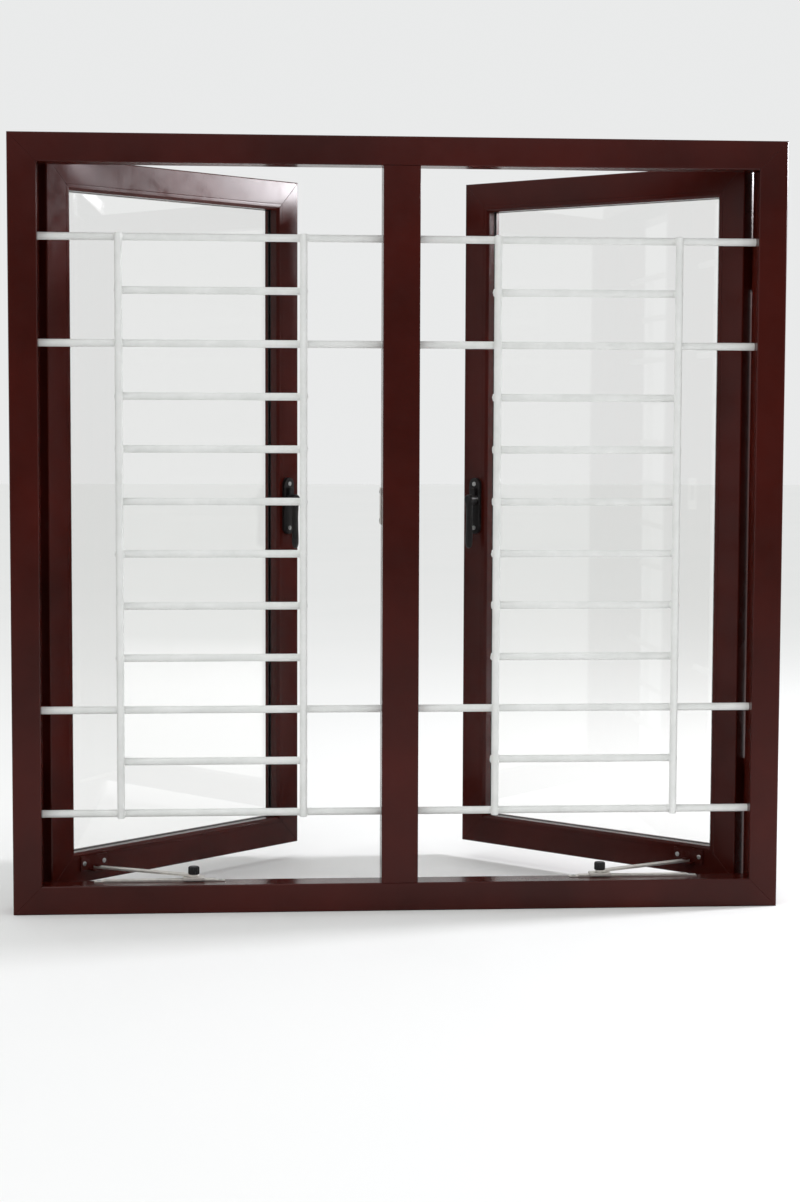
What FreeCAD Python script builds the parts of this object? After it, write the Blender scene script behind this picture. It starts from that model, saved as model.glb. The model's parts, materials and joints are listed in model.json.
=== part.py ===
import FreeCAD, Part
import math
import os
import re
import Sketcher

# Casement window with two outward-opening sashes, mitred aluminium sections and a welded security grille.
# Frame: origin at the middle of the sill's underside, half way through the frame's depth.
# +X to the right seen from the room, +Y towards the outside, +Z up. Millimetres and degrees.
# The model stands in its open position: each sash is turned open_angle from shut.

SIZES = [
    ("frame_width", 1220, "overall width"),
    ("frame_height", 1220, "overall height"),
    ("frame_face", 45, "width of the frame members seen from the room"),
    ("front_depth", 45, "depth of the room-side box of the frame section"),
    ("rear_face", 24, "width of the frame section beside the sash"),
    ("wall", 2, "wall of the frame and sash sections"),
    ("edge_chamfer", 1.5, "small chamfer on visible edges"),
    ("mullion_face", 58, "width of the mullion seen from the room"),
    ("stem_face", 20, "width of the mullion between the sashes"),
    ("seal_gap", 3, "gap filled by the compression seal"),
    ("seal_clear", 0.2, "free gap left between seal and shut sash"),
    ("seal_edge", 2, "seal back from the edges of sash and opening"),
    ("sash_lap", 15, "overlap of sash and frame"),
    ("sash_depth", 34, "thickness of the sash"),
    ("sash_face", 50, "width of the sash members"),
    ("bead_width", 10, "width of the glazing bead seen from the room"),
    ("fin_depth", 7, "thickness of the outer glazing fin"),
    ("glass_thick", 5, "glass"),
    ("glass_gap", 3, "edge gap round the glass"),
    ("gasket_thick", 2, "glazing gasket"),
    ("gasket_inset", 1, "glass edge covered before the gasket starts"),
    ("bead_chamfer", 4, "sloped edge of the glazing bead"),
    ("bead_wall", 1.5, "wall of the glazing bead"),
    ("block_length", 60, "setting block under the glass"),
    ("cleat_leg", 56, "leg of a corner cleat"),
    ("cleat_wall", 4, "wall of a corner cleat"),
    ("cleat_gap", 0.2, "gap between a cleat and its chamber"),
    ("open_angle", 44, "how far the sashes stand open"),
    ("knuckle_radius", 5, "hinge barrel"),
    ("knuckle_height", 15, "one knuckle of the barrel"),
    ("knuckle_gap", 0.3, "gap between knuckles"),
    ("pin_radius", 3, "hinge pin"),
    ("pin_head", 4.5, "radius of the pin's heads"),
    ("pin_head_height", 2, "height of the pin's heads"),
    ("run_gap", 0.05, "radial clearance of a running fit"),
    ("leaf_thick", 2, "hinge leaf"),
    ("leaf_reach", 24, "from the hinge axis to the leaf's far edge"),
    ("leaf_relief", 0.5, "gap between a leaf and the other leaf's knuckles"),
    ("hinge_inset", 160, "hinge centre from the sash's end"),
    ("screw_radius", 2, "screws through walls and plates"),
    ("screw_gap", 0.05, "gap round a screw"),
    ("screw_head", 3.8, "radius of a screw head"),
    ("screw_head_height", 1.2, "height of a screw head"),
    ("screw_length", 9, "screws into the sections"),
    ("hinge_screw_pitch", 25, "spacing of the screws in a leaf"),
    ("hinge_screw_reach", 17, "from the hinge axis to the leaf's screws"),
    ("bar_radius", 6, "grille bars"),
    ("grille_margin", 111.8, "outermost horizontal bar from the frame"),
    ("bar_depth", 26, "centre of the horizontal bars behind the room face"),
    ("bar_seat", 8, "how far a long bar enters its socket"),
    ("bar_gap", 0.1, "gap round a bar in its socket"),
    ("weld_gap", 0.05, "gap at the touching line of crossing bars"),
    ("upright_inset", 124, "from the side of the bay to the upright's centre"),
    ("handle_setback", 14, "from the mullion's side to the handle's centre line"),
    ("handle_rise", 30, "handle spindle above the middle of the window"),
    ("handle_plate", 21, "width of the handle's base plate"),
    ("plate_thick", 8, "thickness of the handle's base plate"),
    ("plate_up", 27, "straight part of the plate above the spindle"),
    ("plate_down", 50, "straight part of the plate below the spindle"),
    ("handle_screw_bite", 4, "handle screws past the wall of the sash"),
    ("plate_gap", 0.3, "gap between lever and base plate"),
    ("hub_radius", 9.5, "hub of the lever"),
    ("hub_depth", 18, "hub of the lever"),
    ("lever_length", 78, "spindle to the centre of the lever's round end"),
    ("lever_width", 15, "grip of the lever"),
    ("lever_thick", 9, "grip of the lever"),
    ("nose_length", 20, "reach of the locking nose from the spindle"),
    ("nose_width", 10, "locking nose"),
    ("nose_thick", 6, "locking nose"),
    ("spindle_side", 7, "square spindle"),
    ("spindle_reach", 10, "spindle behind the sash's room face"),
    ("spindle_hole", 5.2, "radius of the clearance hole for the spindle"),
    ("keep_thick", 2, "keep plate on the mullion"),
    ("keep_up", 33, "keep plate above the spindle's height"),
    ("keep_down", 25, "keep plate below the spindle's height"),
    ("keep_edge", 3, "keep plate beside its slot"),
    ("keep_screw_edge", 6, "keep screws from the plate's ends"),
    ("slot_up", 19, "slot for the nose above the spindle's height"),
    ("slot_down", 8, "slot for the nose below the spindle's height"),
    ("nose_gap", 1.5, "gap each side of the nose in its slot"),
    ("stay_along", 90, "stay pivot from the hinge axis, along the sash"),
    ("stay_stand", 11, "stay pivot in front of the sash's room face"),
    ("stay_arm", 175, "stay arm between its pivots"),
    ("rail_depth", 35, "centre line of the stay rail behind the room face"),
    ("arm_width", 14, "flat bar of the stay arm"),
    ("arm_thick", 3, "flat bar of the stay arm"),
    ("boss_height", 0.5, "boss on the slider that carries the arm"),
    ("stud_radius", 3, "pivot studs of the stay"),
    ("stud_head", 5.5, "head of the bracket's stud"),
    ("stud_head_height", 2, "head of the bracket's stud"),
    ("rail_behind", 158, "stay rail on the hinge side of the slider's open position"),
    ("rail_ahead", 50, "stay rail beyond the slider's open position"),
    ("rail_width", 12, "stay rail"),
    ("rail_height", 3.5, "stay rail"),
    ("rail_tab", 15, "low tab at each end of the rail"),
    ("rail_tab_height", 1.6, "low tab at each end of the rail"),
    ("slider_length", 34, "slider on the rail"),
    ("slider_play", 2.3, "side play of the slider on its rail"),
    ("slider_wall", 2, "sides of the slider"),
    ("slider_deck", 3, "top of the slider"),
    ("slider_gap", 0.3, "gap under the slider"),
    ("knob_radius", 9, "clamping knob"),
    ("knob_height", 13, "clamping knob"),
    ("bracket_half", 28, "half length of the bracket's plate"),
    ("bracket_thick", 3, "stay bracket"),
    ("bracket_rise", 4, "bracket's plate above the sill's upper face"),
    ("bracket_tall", 24, "height of the bracket's plate"),
    ("bracket_screw_edge", 7, "bracket screws from the plate's ends"),
    ("bracket_screw_rise", 12, "bracket screws above the plate's lower edge"),
    ("shelf_half", 13, "half length of the bracket's shelf"),
    ("shelf_lip", 7, "shelf in front of the pivot"),
    ("fixing_radius", 4, "holes for the wall fixings"),
    ("fixing_inset", 150, "wall fixing from the frame's end"),
    ("spigot_length", 40, "block in each end of the mullion's stem"),
    ("spigot_gap", 0.1, "gap round the block"),
    ("spigot_screw_pitch", 8, "mullion screws each side of the stem's middle"),
    ("spigot_screw_length", 24, "mullion screws"),
    ("access_radius", 5, "access hole for a mullion screw"),
    ("drain_place", 300, "drain cap from the middle of the window"),
    ("drain_half", 18, "half width of a drain cap"),
    ("drain_low", 7, "drain cap above the sill's underside"),
    ("drain_height", 11, "drain cap"),
    ("drain_depth", 5, "drain cap"),
    ("drain_slot_half", 13, "half width of a drain slot"),
    ("drain_slot_height", 5, "drain slot"),
]

ALIAS = re.compile(r"\b(" + "|".join(name for name, _, _ in SIZES) + r")\b")
SIDES = (("left", -1), ("right", 1))
HINGES = (-1, 1)          # lower and upper hinge
KNUCKLES = 5              # knuckles of one hinge, taken in turn by the two leaves
ROWS = 12
LONG_ROWS = (0, 2, 9, 11)  # rows that run from jamb to mullion
OVERRUN = "2"             # how far a cutting shape passes the surface it cuts

# Places worked out from the sizes, as expressions of the sheet.
DEPTH = "(front_depth + seal_gap + sash_depth)"
ROOM = f"(-{DEPTH}/2)"
OUTSIDE = f"({DEPTH}/2)"
SASH_ROOM = f"({ROOM} + front_depth + seal_gap)"
SASH_OUTER = "(frame_width/2 - frame_face + sash_lap)"
SASH_INNER = "(mullion_face/2 - sash_lap)"
SASH_WIDTH = f"({SASH_OUTER} - {SASH_INNER})"
SASH_LOW = "(frame_face - sash_lap)"
SASH_BOX = "(sash_face - bead_width)"
SASH_HEIGHT = "(frame_height - 2*frame_face + 2*sash_lap)"
SASH_TOP = f"({SASH_LOW} + {SASH_HEIGHT})"
BEAD_DEPTH = "(sash_depth - fin_depth - 2*gasket_thick - glass_thick)"
GLASS_ROOM = f"({SASH_ROOM} + {BEAD_DEPTH} + gasket_thick)"
HINGE_X = f"((frame_width/2 - rear_face + {SASH_OUTER})/2)"
HINGE_Y = f"({OUTSIDE} + knuckle_radius)"
BAY_OUTER = "(frame_width/2 - frame_face)"
BAY_INNER = "(mullion_face/2)"
BAR_PITCH = f"((frame_height - 2*frame_face - 2*grille_margin)/{ROWS - 1})"
BAR_Y = f"({ROOM} + bar_depth)"
UPRIGHT_Y = f"({BAR_Y} - 2*bar_radius - weld_gap)"
HANDLE_X = f"({BAY_INNER} + handle_setback)"
HANDLE_Z = "(frame_height/2 + handle_rise)"
LEVER_Y = f"({SASH_ROOM} - plate_thick - plate_gap)"
NOSE_Y = f"({LEVER_Y} - nose_thick)"
SLOT_YS = (f"({NOSE_Y} - nose_gap)", f"({LEVER_Y} + nose_gap)")
KEEP_SCREWS = (f"({HANDLE_Z} - keep_down + keep_screw_edge)", f"({HANDLE_Z} + keep_up - keep_screw_edge)")
STAY_FRONT = f"({HINGE_Y} - {SASH_ROOM} + stay_stand)"
RAIL_Y = f"({ROOM} + rail_depth)"
STAY_B_ALONG = f"(stay_along*cos(open_angle) + {STAY_FRONT}*sin(open_angle))"
STAY_B_ACROSS = f"(stay_along*sin(open_angle) - {STAY_FRONT}*cos(open_angle))"
STAY_ANGLE = f"asin(({RAIL_Y} - {HINGE_Y} - {STAY_B_ACROSS})/stay_arm)"
STAY_B_X = f"({HINGE_X} - {STAY_B_ALONG})"
STAY_B_Y = f"({HINGE_Y} + {STAY_B_ACROSS})"
SLIDER_X = f"({HINGE_X} - {STAY_B_ALONG} - stay_arm*cos({STAY_ANGLE}))"
SLIDER_LOW = "(frame_face + rail_height + slider_gap)"
ARM_Z = f"({SLIDER_LOW} + slider_deck + boss_height + slider_gap)"
BRACKET_LOW = "(frame_face + bracket_rise)"
BRACKET_SCREW_STEP = "(bracket_half - bracket_screw_edge)"
BRACKET_SCREW_Z = f"({BRACKET_LOW} + bracket_screw_rise)"
PLATE_SCREWS = (f"{HANDLE_Z} + plate_up", f"{HANDLE_Z} - plate_down")
FIXING_DEPTH = "(front_depth + seal_gap + sash_depth/2)"
STEM_DEPTH = "(front_depth + (seal_gap + sash_depth)/2)"
HOLE = "(screw_radius + screw_gap)"
HINGE_TALL = f"(knuckle_height*{KNUCKLES})"

doc = FreeCAD.newDocument("casement_window")
sheet = doc.addObject("Spreadsheet::Sheet", "Sizes")
for row, (name, value, note) in enumerate(SIZES, start=1):
    sheet.set(f"A{row}", note)
    sheet.set(f"B{row}", str(value))
    sheet.setAlias(f"B{row}", name)
doc.recompute()

nodes = []


def sized(text):
    """The same expression with every size read from the sheet."""
    return ALIAS.sub(r"Sizes.\1", str(text))


def bind(thing, field, text):
    thing.setExpression(field, sized(text))


def node(thing, name):
    """Marks an object as one of the window's pieces."""
    thing.Label = name
    nodes.append(thing)
    return thing


def vector(x, y, z):
    return f"create(<<vector>>; {x}; {y}; {z})"


def place(spot, axis=(0, 0, 1), angle=0):
    turn = f"create(<<rotation>>; {vector(*axis)}; {angle})"
    return f"create(<<placement>>; {vector(*spot)}; {turn})"


def swing(side):
    """Turns a piece modelled on the shut sash to where the open sash stands."""
    axis_x = f"({side})*{HINGE_X}"
    there = place((axis_x, HINGE_Y, 0), angle=f"({-side})*open_angle")
    back = place((f"-({axis_x})", f"-{HINGE_Y}", 0))
    return f"{there} * {back}"


def put(thing, *steps):
    bind(thing, "Placement", " * ".join(steps))
    return thing


# ---- solids from sketches -------------------------------------------------------------------

def polygon(sketch, corners):
    """A closed outline whose corners are pinned to expressions."""
    count = len(corners)
    first = sketch.GeometryCount
    turns = [2*math.pi*i/count for i in range(count)]
    ring = [FreeCAD.Vector(10*math.cos(turn), 10*math.sin(turn), 0) for turn in turns]
    for i in range(count):
        sketch.addGeometry(Part.LineSegment(ring[i], ring[(i + 1) % count]))
    for i in range(count):
        sketch.addConstraint(Sketcher.Constraint("Coincident", first + i, 2, first + (i + 1) % count, 1))
    for i, (across, up) in enumerate(corners):
        for kind, start, text in (("DistanceX", ring[i].x, across), ("DistanceY", ring[i].y, up)):
            index = sketch.addConstraint(Sketcher.Constraint(kind, -1, 1, first + i, 1, start))
            bind(sketch, f"Constraints[{index}]", text)


def circle(sketch, across, up, radius):
    index = sketch.addGeometry(Part.Circle(FreeCAD.Vector(5, 5, 0), FreeCAD.Vector(0, 0, 1), 2))
    for kind, text in (("DistanceX", across), ("DistanceY", up)):
        number = sketch.addConstraint(Sketcher.Constraint(kind, -1, 1, index, 3, 5))
        bind(sketch, f"Constraints[{number}]", text)
    number = sketch.addConstraint(Sketcher.Constraint("Radius", index, 2))
    bind(sketch, f"Constraints[{number}]", radius)


def box_corners(left, right, low, high):
    return [(left, low), (right, low), (right, high), (left, high)]


def sketch_on(body, plane, name, shift=None):
    sketch = body.newObject("Sketcher::SketchObject", name)
    origin = [item for item in body.Origin.OriginFeatures if item.Role == plane][0]
    sketch.AttachmentSupport = [(origin, "")]
    sketch.MapMode = "FlatFace"
    if shift is not None:
        bind(sketch, "AttachmentOffset.Base.z", shift)
    return sketch


def section(name, loops, length):
    """A hollow section along +X: outlines are (depth, width) pairs."""
    body = doc.addObject("PartDesign::Body", name)
    sketch = sketch_on(body, "YZ_Plane", name + "_outline")
    for loop in loops:
        polygon(sketch, loop)
    pad = body.newObject("PartDesign::Pad", name + "_pad")
    pad.Profile = sketch
    bind(pad, "Length", length)
    return body


def pocket(body, sketch, depth=None):
    cut = body.newObject("PartDesign::Pocket", sketch.Name + "_cut")
    cut.Profile = sketch
    if depth is None:
        cut.Type = "ThroughAll"
        cut.Midplane = True
    else:
        bind(cut, "Length", depth)
    return cut


def mitre(body, length, face):
    """Cuts both ends at 45 degrees."""
    sketch = sketch_on(body, "XZ_Plane", body.Name + "_mitre")
    over = f"({face} + {OVERRUN})"
    polygon(sketch, [(f"-{OVERRUN}", f"-{OVERRUN}"), (over, over), (f"-{OVERRUN}", over)])
    far = f"({length} + {OVERRUN})"
    polygon(sketch, [(far, f"-{OVERRUN}"), (far, over), (f"({length}) - {over}", over)])
    pocket(body, sketch)


def holes_down(body, name, surface, thickness, circles):
    """Round holes from above through what lies under the surface's height."""
    sketch = sketch_on(body, "XY_Plane", f"{body.Name}_{name}", f"{surface} + {OVERRUN}")
    for along, depth, radius in circles:
        circle(sketch, along, depth, radius)
    pocket(body, sketch, f"{thickness} + {OVERRUN} + {OVERRUN}/2")


def holes_back(body, name, surface, thickness, circles):
    """Round holes from the room side through what lies behind the surface's depth."""
    sketch = sketch_on(body, "XZ_Plane", f"{body.Name}_{name}", f"-({surface}) + {OVERRUN}/2")
    for along, width, radius in circles:
        circle(sketch, along, width, radius)
    pocket(body, sketch, f"{thickness} + {OVERRUN}")


# ---- plain solids ---------------------------------------------------------------------------

def box(name, xs, ys, zs, side=1):
    """A box between two distances from the middle, on the side given."""
    solid = doc.addObject("Part::Box", name)
    for field, (low, high) in (("Length", xs), ("Width", ys), ("Height", zs)):
        bind(solid, field, f"({high}) - ({low})")
    bind(solid, "Placement.Base.x", xs[0] if side > 0 else f"-({xs[1]})")
    bind(solid, "Placement.Base.y", ys[0])
    bind(solid, "Placement.Base.z", zs[0])
    return solid


AXES = {
    "+Z": ((0, 0, 1), 0), "-Z": ((1, 0, 0), 180),
    "+Y": ((1, 0, 0), -90), "-Y": ((1, 0, 0), 90),
    "+X": ((0, 1, 0), 90), "-X": ((0, 1, 0), -90),
}


def rod(name, spot, towards, radius, length):
    solid = doc.addObject("Part::Cylinder", name)
    axis, angle = AXES[towards]
    solid.Placement = FreeCAD.Placement(FreeCAD.Vector(), FreeCAD.Rotation(FreeCAD.Vector(*axis), angle))
    for field, text in zip("xyz", spot):
        bind(solid, f"Placement.Base.{field}", text)
    bind(solid, "Radius", radius)
    bind(solid, "Height", length)
    return solid


def fuse(name, solids):
    whole = doc.addObject("Part::MultiFuse", name)
    whole.Shapes = solids
    return whole


def cut(name, base, tools):
    tool = tools[0] if len(tools) == 1 else fuse(name + "_tools", tools)
    whole = doc.addObject("Part::Cut", name)
    whole.Base = base
    whole.Tool = tool
    return whole


def group(name, solids):
    """Separate like pieces that share one node."""
    whole = doc.addObject("Part::Compound", name)
    whole.Links = solids
    return whole


def ring(name, side, outer, inner, ys):
    """A rectangular ring lying in the plane of the window: (x low, x high, z low, z high) twice."""
    outside = box(name + "_outside", outer[0:2], ys, outer[2:4], side)
    deep = (f"{ys[0]} - {OVERRUN}", f"{ys[1]} + {OVERRUN}")
    hollow = box(name + "_inside", inner[0:2], deep, inner[2:4], side)
    return cut(name, outside, [hollow])


def screw(name, spot, towards, length="screw_length", head="screw_head"):
    """A pan-head screw: the spot is where the underside of its head rests."""
    sign, letter = towards[0], towards[1].lower()
    back = "+" if sign == "-" else "-"
    seat = dict(zip("xyz", spot))
    seat[letter] = f"{seat[letter]} {back} screw_head_height"
    cap = rod(name + "_head", (seat["x"], seat["y"], seat["z"]), towards, head, "screw_head_height")
    shank = rod(name + "_shank", spot, towards, "screw_radius", length)
    return fuse(name, [cap, shank])


# ---- frame ----------------------------------------------------------------------------------

FRAME_SECTION = [
    [("edge_chamfer", "0"), (DEPTH, "0"), (DEPTH, "rear_face"), ("front_depth", "rear_face"),
     ("front_depth", "frame_face"), ("edge_chamfer", "frame_face"), ("0", "frame_face - edge_chamfer"),
     ("0", "edge_chamfer")],
    box_corners("wall", "front_depth - wall", "wall", "frame_face - wall"),
    box_corners("front_depth", f"{DEPTH} - wall", "wall", "rear_face - wall"),
]
FRAME_PLACES = {
    "frame_sill": (("-frame_width/2", ROOM, "0"), 0, "frame_width"),
    "frame_head": (("frame_width/2", ROOM, "frame_height"), 180, "frame_width"),
    "frame_jamb_left": (("-frame_width/2", ROOM, "frame_height"), 90, "frame_height"),
    "frame_jamb_right": (("frame_width/2", ROOM, "0"), -90, "frame_height"),
}
HINGE_Z = {end: f"(frame_height/2 + ({end})*({SASH_HEIGHT}/2 - hinge_inset))" for end in HINGES}
LEAF_SCREWS = [f"({step})*hinge_screw_pitch" for step in (-1, 0, 1)]


def row_z(row):
    return f"(frame_height/2 + ({(ROWS - 1)/2 - row})*{BAR_PITCH})"


def stay_rail_screw_x(end):
    if end < 0:
        return f"({SLIDER_X} + rail_behind - rail_tab/2)"
    return f"({SLIDER_X} - rail_ahead + rail_tab/2)"


def make_frame_members():
    for name, (spot, angle, length) in FRAME_PLACES.items():
        body = section(name, FRAME_SECTION, length)
        mitre(body, length, "frame_face")
        if "jamb" in name:
            sockets = [(row_z(row), "bar_depth", "bar_radius + bar_gap") for row in LONG_ROWS]
            holes_down(body, "sockets", "frame_face", "wall", sockets)
            ends = ("fixing_inset", f"{length}/2", f"{length} - fixing_inset")
            fixings = [(along, FIXING_DEPTH, "fixing_radius") for along in ends]
            holes_down(body, "fixings", "rear_face", "rear_face", fixings)
            width = f"frame_width/2 - {HINGE_X} - hinge_screw_reach"
            screws = [(f"{HINGE_Z[end]} + {step}", width, HOLE)
                      for end in HINGES for step in LEAF_SCREWS]
            holes_back(body, "hinge_screws", f"{DEPTH} - wall", "wall", screws)
        else:
            stem = [(f"{length}/2", f"{STEM_DEPTH} + ({step})*spigot_screw_pitch", HOLE)
                    for step in (-1, 1)]
            holes_down(body, "mullion_screws", "rear_face", "wall", stem)
            access = [(along, depth, "access_radius") for along, depth, _ in stem]
            holes_down(body, "mullion_access", "wall", "wall", access)
        if name == "frame_sill":
            rail = [(f"{length}/2 + ({side})*{stay_rail_screw_x(end)}", f"{RAIL_Y} - {ROOM}", HOLE)
                    for _, side in SIDES for end in (-1, 1)]
            holes_down(body, "rail_screws", "frame_face", "wall", rail)
            slots = sketch_on(body, "XZ_Plane", "drain_slots", f"-({DEPTH} - wall) + {OVERRUN}/2")
            for _, side in SIDES:
                middle = f"{length}/2 + ({side})*drain_place"
                low = "drain_low + (drain_height - drain_slot_height)/2"
                polygon(slots, box_corners(f"{middle} - drain_slot_half", f"{middle} + drain_slot_half",
                                           low, f"{low} + drain_slot_height"))
            pocket(body, slots, f"wall + {OVERRUN}")
        put(body, place(spot, (0, 1, 0), angle))
        node(body, name)


def make_mullion():
    length = "(frame_height - 2*rear_face)"
    loops = [
        [("edge_chamfer", "-mullion_face/2"), ("front_depth", "-mullion_face/2"),
         ("front_depth", "-stem_face/2"), (DEPTH, "-stem_face/2"), (DEPTH, "stem_face/2"),
         ("front_depth", "stem_face/2"), ("front_depth", "mullion_face/2"),
         ("edge_chamfer", "mullion_face/2"),
         ("0", "mullion_face/2 - edge_chamfer"), ("0", "-mullion_face/2 + edge_chamfer")],
        box_corners("wall", "front_depth - wall", "-mullion_face/2 + wall", "mullion_face/2 - wall"),
        box_corners("front_depth", f"{DEPTH} - wall", "-stem_face/2 + wall", "stem_face/2 - wall"),
    ]
    body = section("frame_mullion", loops, length)
    notch = sketch_on(body, "XY_Plane", "mullion_notch")
    end = "(frame_face - rear_face)"
    polygon(notch, box_corners(f"-{OVERRUN}", end, f"-{OVERRUN}", "front_depth"))
    polygon(notch, box_corners(f"{length} - {end}", f"{length} + {OVERRUN}", f"-{OVERRUN}", "front_depth"))
    pocket(body, notch)
    sockets = sketch_on(body, "XY_Plane", "mullion_sockets")
    for row in LONG_ROWS:
        circle(sockets, f"{row_z(row)} - rear_face", "bar_depth", "bar_radius + bar_gap")
    pocket(body, sockets)
    keeps = sketch_on(body, "XY_Plane", "mullion_keep_screws")
    for z in KEEP_SCREWS:
        circle(keeps, f"{z} - rear_face", f"{NOSE_Y} + nose_thick/2 - {ROOM}", HOLE)
    low, high = (f"{HANDLE_Z} - slot_down - rear_face", f"{HANDLE_Z} + slot_up - rear_face")
    polygon(keeps, box_corners(low, high, f"{SLOT_YS[0]} - {ROOM}", f"{SLOT_YS[1]} - {ROOM}"))
    pocket(body, keeps)
    put(body, place(("0", ROOM, "rear_face"), (0, 1, 0), -90))
    node(body, "frame_mullion")


def make_mullion_fixings():
    blocks, screws = [], []
    for end in (-1, 1):
        inner = f"(frame_height/2 + ({end})*(frame_height/2 - rear_face - spigot_length))"
        outer = f"(frame_height/2 + ({end})*(frame_height/2 - rear_face))"
        low, high = (outer, inner) if end < 0 else (inner, outer)
        half = "(stem_face/2 - wall - spigot_gap)"
        deep = (f"{ROOM} + front_depth + spigot_gap", f"{OUTSIDE} - wall - spigot_gap")
        block = box(f"spigot_{end + 1}", (f"-{half}", half), deep, (low, high))
        towards = "+Z" if end < 0 else "-Z"
        seat = f"(frame_height/2 + ({end})*(frame_height/2 - rear_face + wall))"
        tools = []
        for step in (-1, 1):
            spot = ("0", f"{ROOM} + {STEM_DEPTH} + ({step})*spigot_screw_pitch", seat)
            mark = f"{end + 1}_{step + 1}"
            screws.append(screw(f"mullion_screw_{mark}", spot, towards, "spigot_screw_length"))
            tools.append(rod(f"spigot_hole_{mark}", spot, towards, HOLE, "spigot_length"))
        blocks.append(cut(f"spigot_block_{end + 1}", block, tools))
    node(group("spigots", blocks), "mullion_spigots")
    node(group("mullion_screw_group", screws), "mullion_screws")


def make_cleats(name, corners, chamber, depth, front, swing_step=None):
    """Hollow L-shaped cleats inside the mitred corners; chamber is the height of the hollow they fill."""
    sketch = doc.addObject("Sketcher::SketchObject", name + "_outline")
    thick = f"({chamber} - 2*cleat_gap)"
    polygon(sketch, [("0", "0"), ("cleat_leg", "0"), ("cleat_leg", thick), (thick, thick),
                     (thick, "cleat_leg"), ("0", "cleat_leg")])
    far = "(cleat_leg - cleat_wall)"
    deep = f"({thick} - cleat_wall)"
    polygon(sketch, [("cleat_wall", "cleat_wall"), (far, "cleat_wall"), (far, deep), (deep, deep),
                     (deep, far), ("cleat_wall", far)])
    cleats = []
    for index, (x, z, angle) in enumerate(corners):
        solid = doc.addObject("Part::Extrusion", f"{name}_{index}")
        solid.Base = sketch
        solid.DirMode = "Normal"
        solid.Solid = True
        bind(solid, "LengthFwd", f"{depth} - 2*cleat_gap")
        back = f"({front} + {depth} - cleat_gap)"
        steps = [place((x, back, z), (0, 1, 0), angle), place((0, 0, 0), (1, 0, 0), 90)]
        put(solid, *steps)
        cleats.append(solid)
    whole = group(name + "_group", cleats)
    if swing_step:
        put(whole, swing_step)
    node(whole, name)


def corner_places(left, right, low, high, inset):
    xs = (f"{left} + {inset}", f"{right} - {inset}")
    zs = (f"{low} + {inset}", f"{high} - {inset}")
    return [(xs[0], zs[0], 0), (xs[0], zs[1], 90), (xs[1], zs[1], 180), (xs[1], zs[0], -90)]


def make_grille():
    long_bars, short_bars, uprights = [], [], []
    for side_name, side in SIDES:
        outer = f"({BAY_OUTER} + bar_seat)"
        inner = f"({BAY_INNER} - bar_seat)"
        near = f"({BAY_INNER} + upright_inset - bar_radius)"
        far = f"({BAY_OUTER} - upright_inset + bar_radius)"
        for row in range(ROWS):
            is_long = row in LONG_ROWS
            start, end = (inner, outer) if is_long else (near, far)
            spot = (f"({side})*{start}", BAR_Y, row_z(row))
            towards = "+X" if side > 0 else "-X"
            bar = rod(f"bar_{side_name}_{row}", spot, towards, "bar_radius", f"{end} - {start}")
            (long_bars if is_long else short_bars).append(bar)
        for index, x in enumerate((f"({BAY_INNER} + upright_inset)", f"({BAY_OUTER} - upright_inset)")):
            spot = (f"({side})*{x}", UPRIGHT_Y, f"{row_z(ROWS - 1)} - bar_radius")
            length = f"({ROWS - 1})*{BAR_PITCH} + 2*bar_radius"
            uprights.append(rod(f"upright_{side_name}_{index}", spot, "+Z", "bar_radius", length))
    node(group("long_bar_group", long_bars), "grille_long_bars")
    node(group("short_bar_group", short_bars), "grille_short_bars")
    node(group("upright_group", uprights), "grille_uprights")


def make_seals():
    for side_name, side in SIDES:
        outer = (f"{SASH_INNER} + seal_edge", f"{SASH_OUTER} - seal_edge",
                 f"{SASH_LOW} + seal_edge", f"{SASH_TOP} - seal_edge")
        inner = (f"{BAY_INNER} - seal_edge", f"{BAY_OUTER} + seal_edge",
                 "frame_face - seal_edge", "frame_height - frame_face + seal_edge")
        ys = (f"{ROOM} + front_depth", f"{ROOM} + front_depth + seal_gap - seal_clear")
        node(ring(f"seal_{side_name}_ring", side, outer, inner, ys), f"seal_{side_name}")


def make_keeps():
    keeps, screws = [], []
    for side_name, side in SIDES:
        plate_out = f"({BAY_INNER} + keep_thick)"
        plate = box(f"keep_plate_{side_name}", (BAY_INNER, plate_out),
                    (f"{SLOT_YS[0]} - keep_edge", f"{SLOT_YS[1]} + keep_edge"),
                    (f"{HANDLE_Z} - keep_down", f"{HANDLE_Z} + keep_up"), side)
        slot = box(f"keep_slot_{side_name}", (f"{BAY_INNER} - {OVERRUN}", f"{plate_out} + {OVERRUN}"),
                   SLOT_YS, (f"{HANDLE_Z} - slot_down", f"{HANDLE_Z} + slot_up"), side)
        towards = "-X" if side > 0 else "+X"
        tools = [slot]
        for index, z in enumerate(KEEP_SCREWS):
            spot = (f"({side})*{plate_out}", f"{NOSE_Y} + nose_thick/2", z)
            screws.append(screw(f"keep_screw_{side_name}_{index}", spot, towards))
            tools.append(rod(f"keep_hole_{side_name}_{index}", spot, towards, HOLE, "keep_thick"))
        keeps.append(cut(f"keep_{side_name}", plate, tools))
    node(group("keep_group", keeps), "keeps")
    return screws


def make_drain_caps():
    caps = []
    for side_name, side in SIDES:
        middle = f"({side})*drain_place"
        caps.append(box(f"drain_cap_{side_name}", (f"{middle} - drain_half", f"{middle} + drain_half"),
                        (OUTSIDE, f"{OUTSIDE} + drain_depth"), ("drain_low", "drain_low + drain_height")))
    node(group("drain_cap_group", caps), "drain_caps")


# ---- hinges ---------------------------------------------------------------------------------

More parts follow.
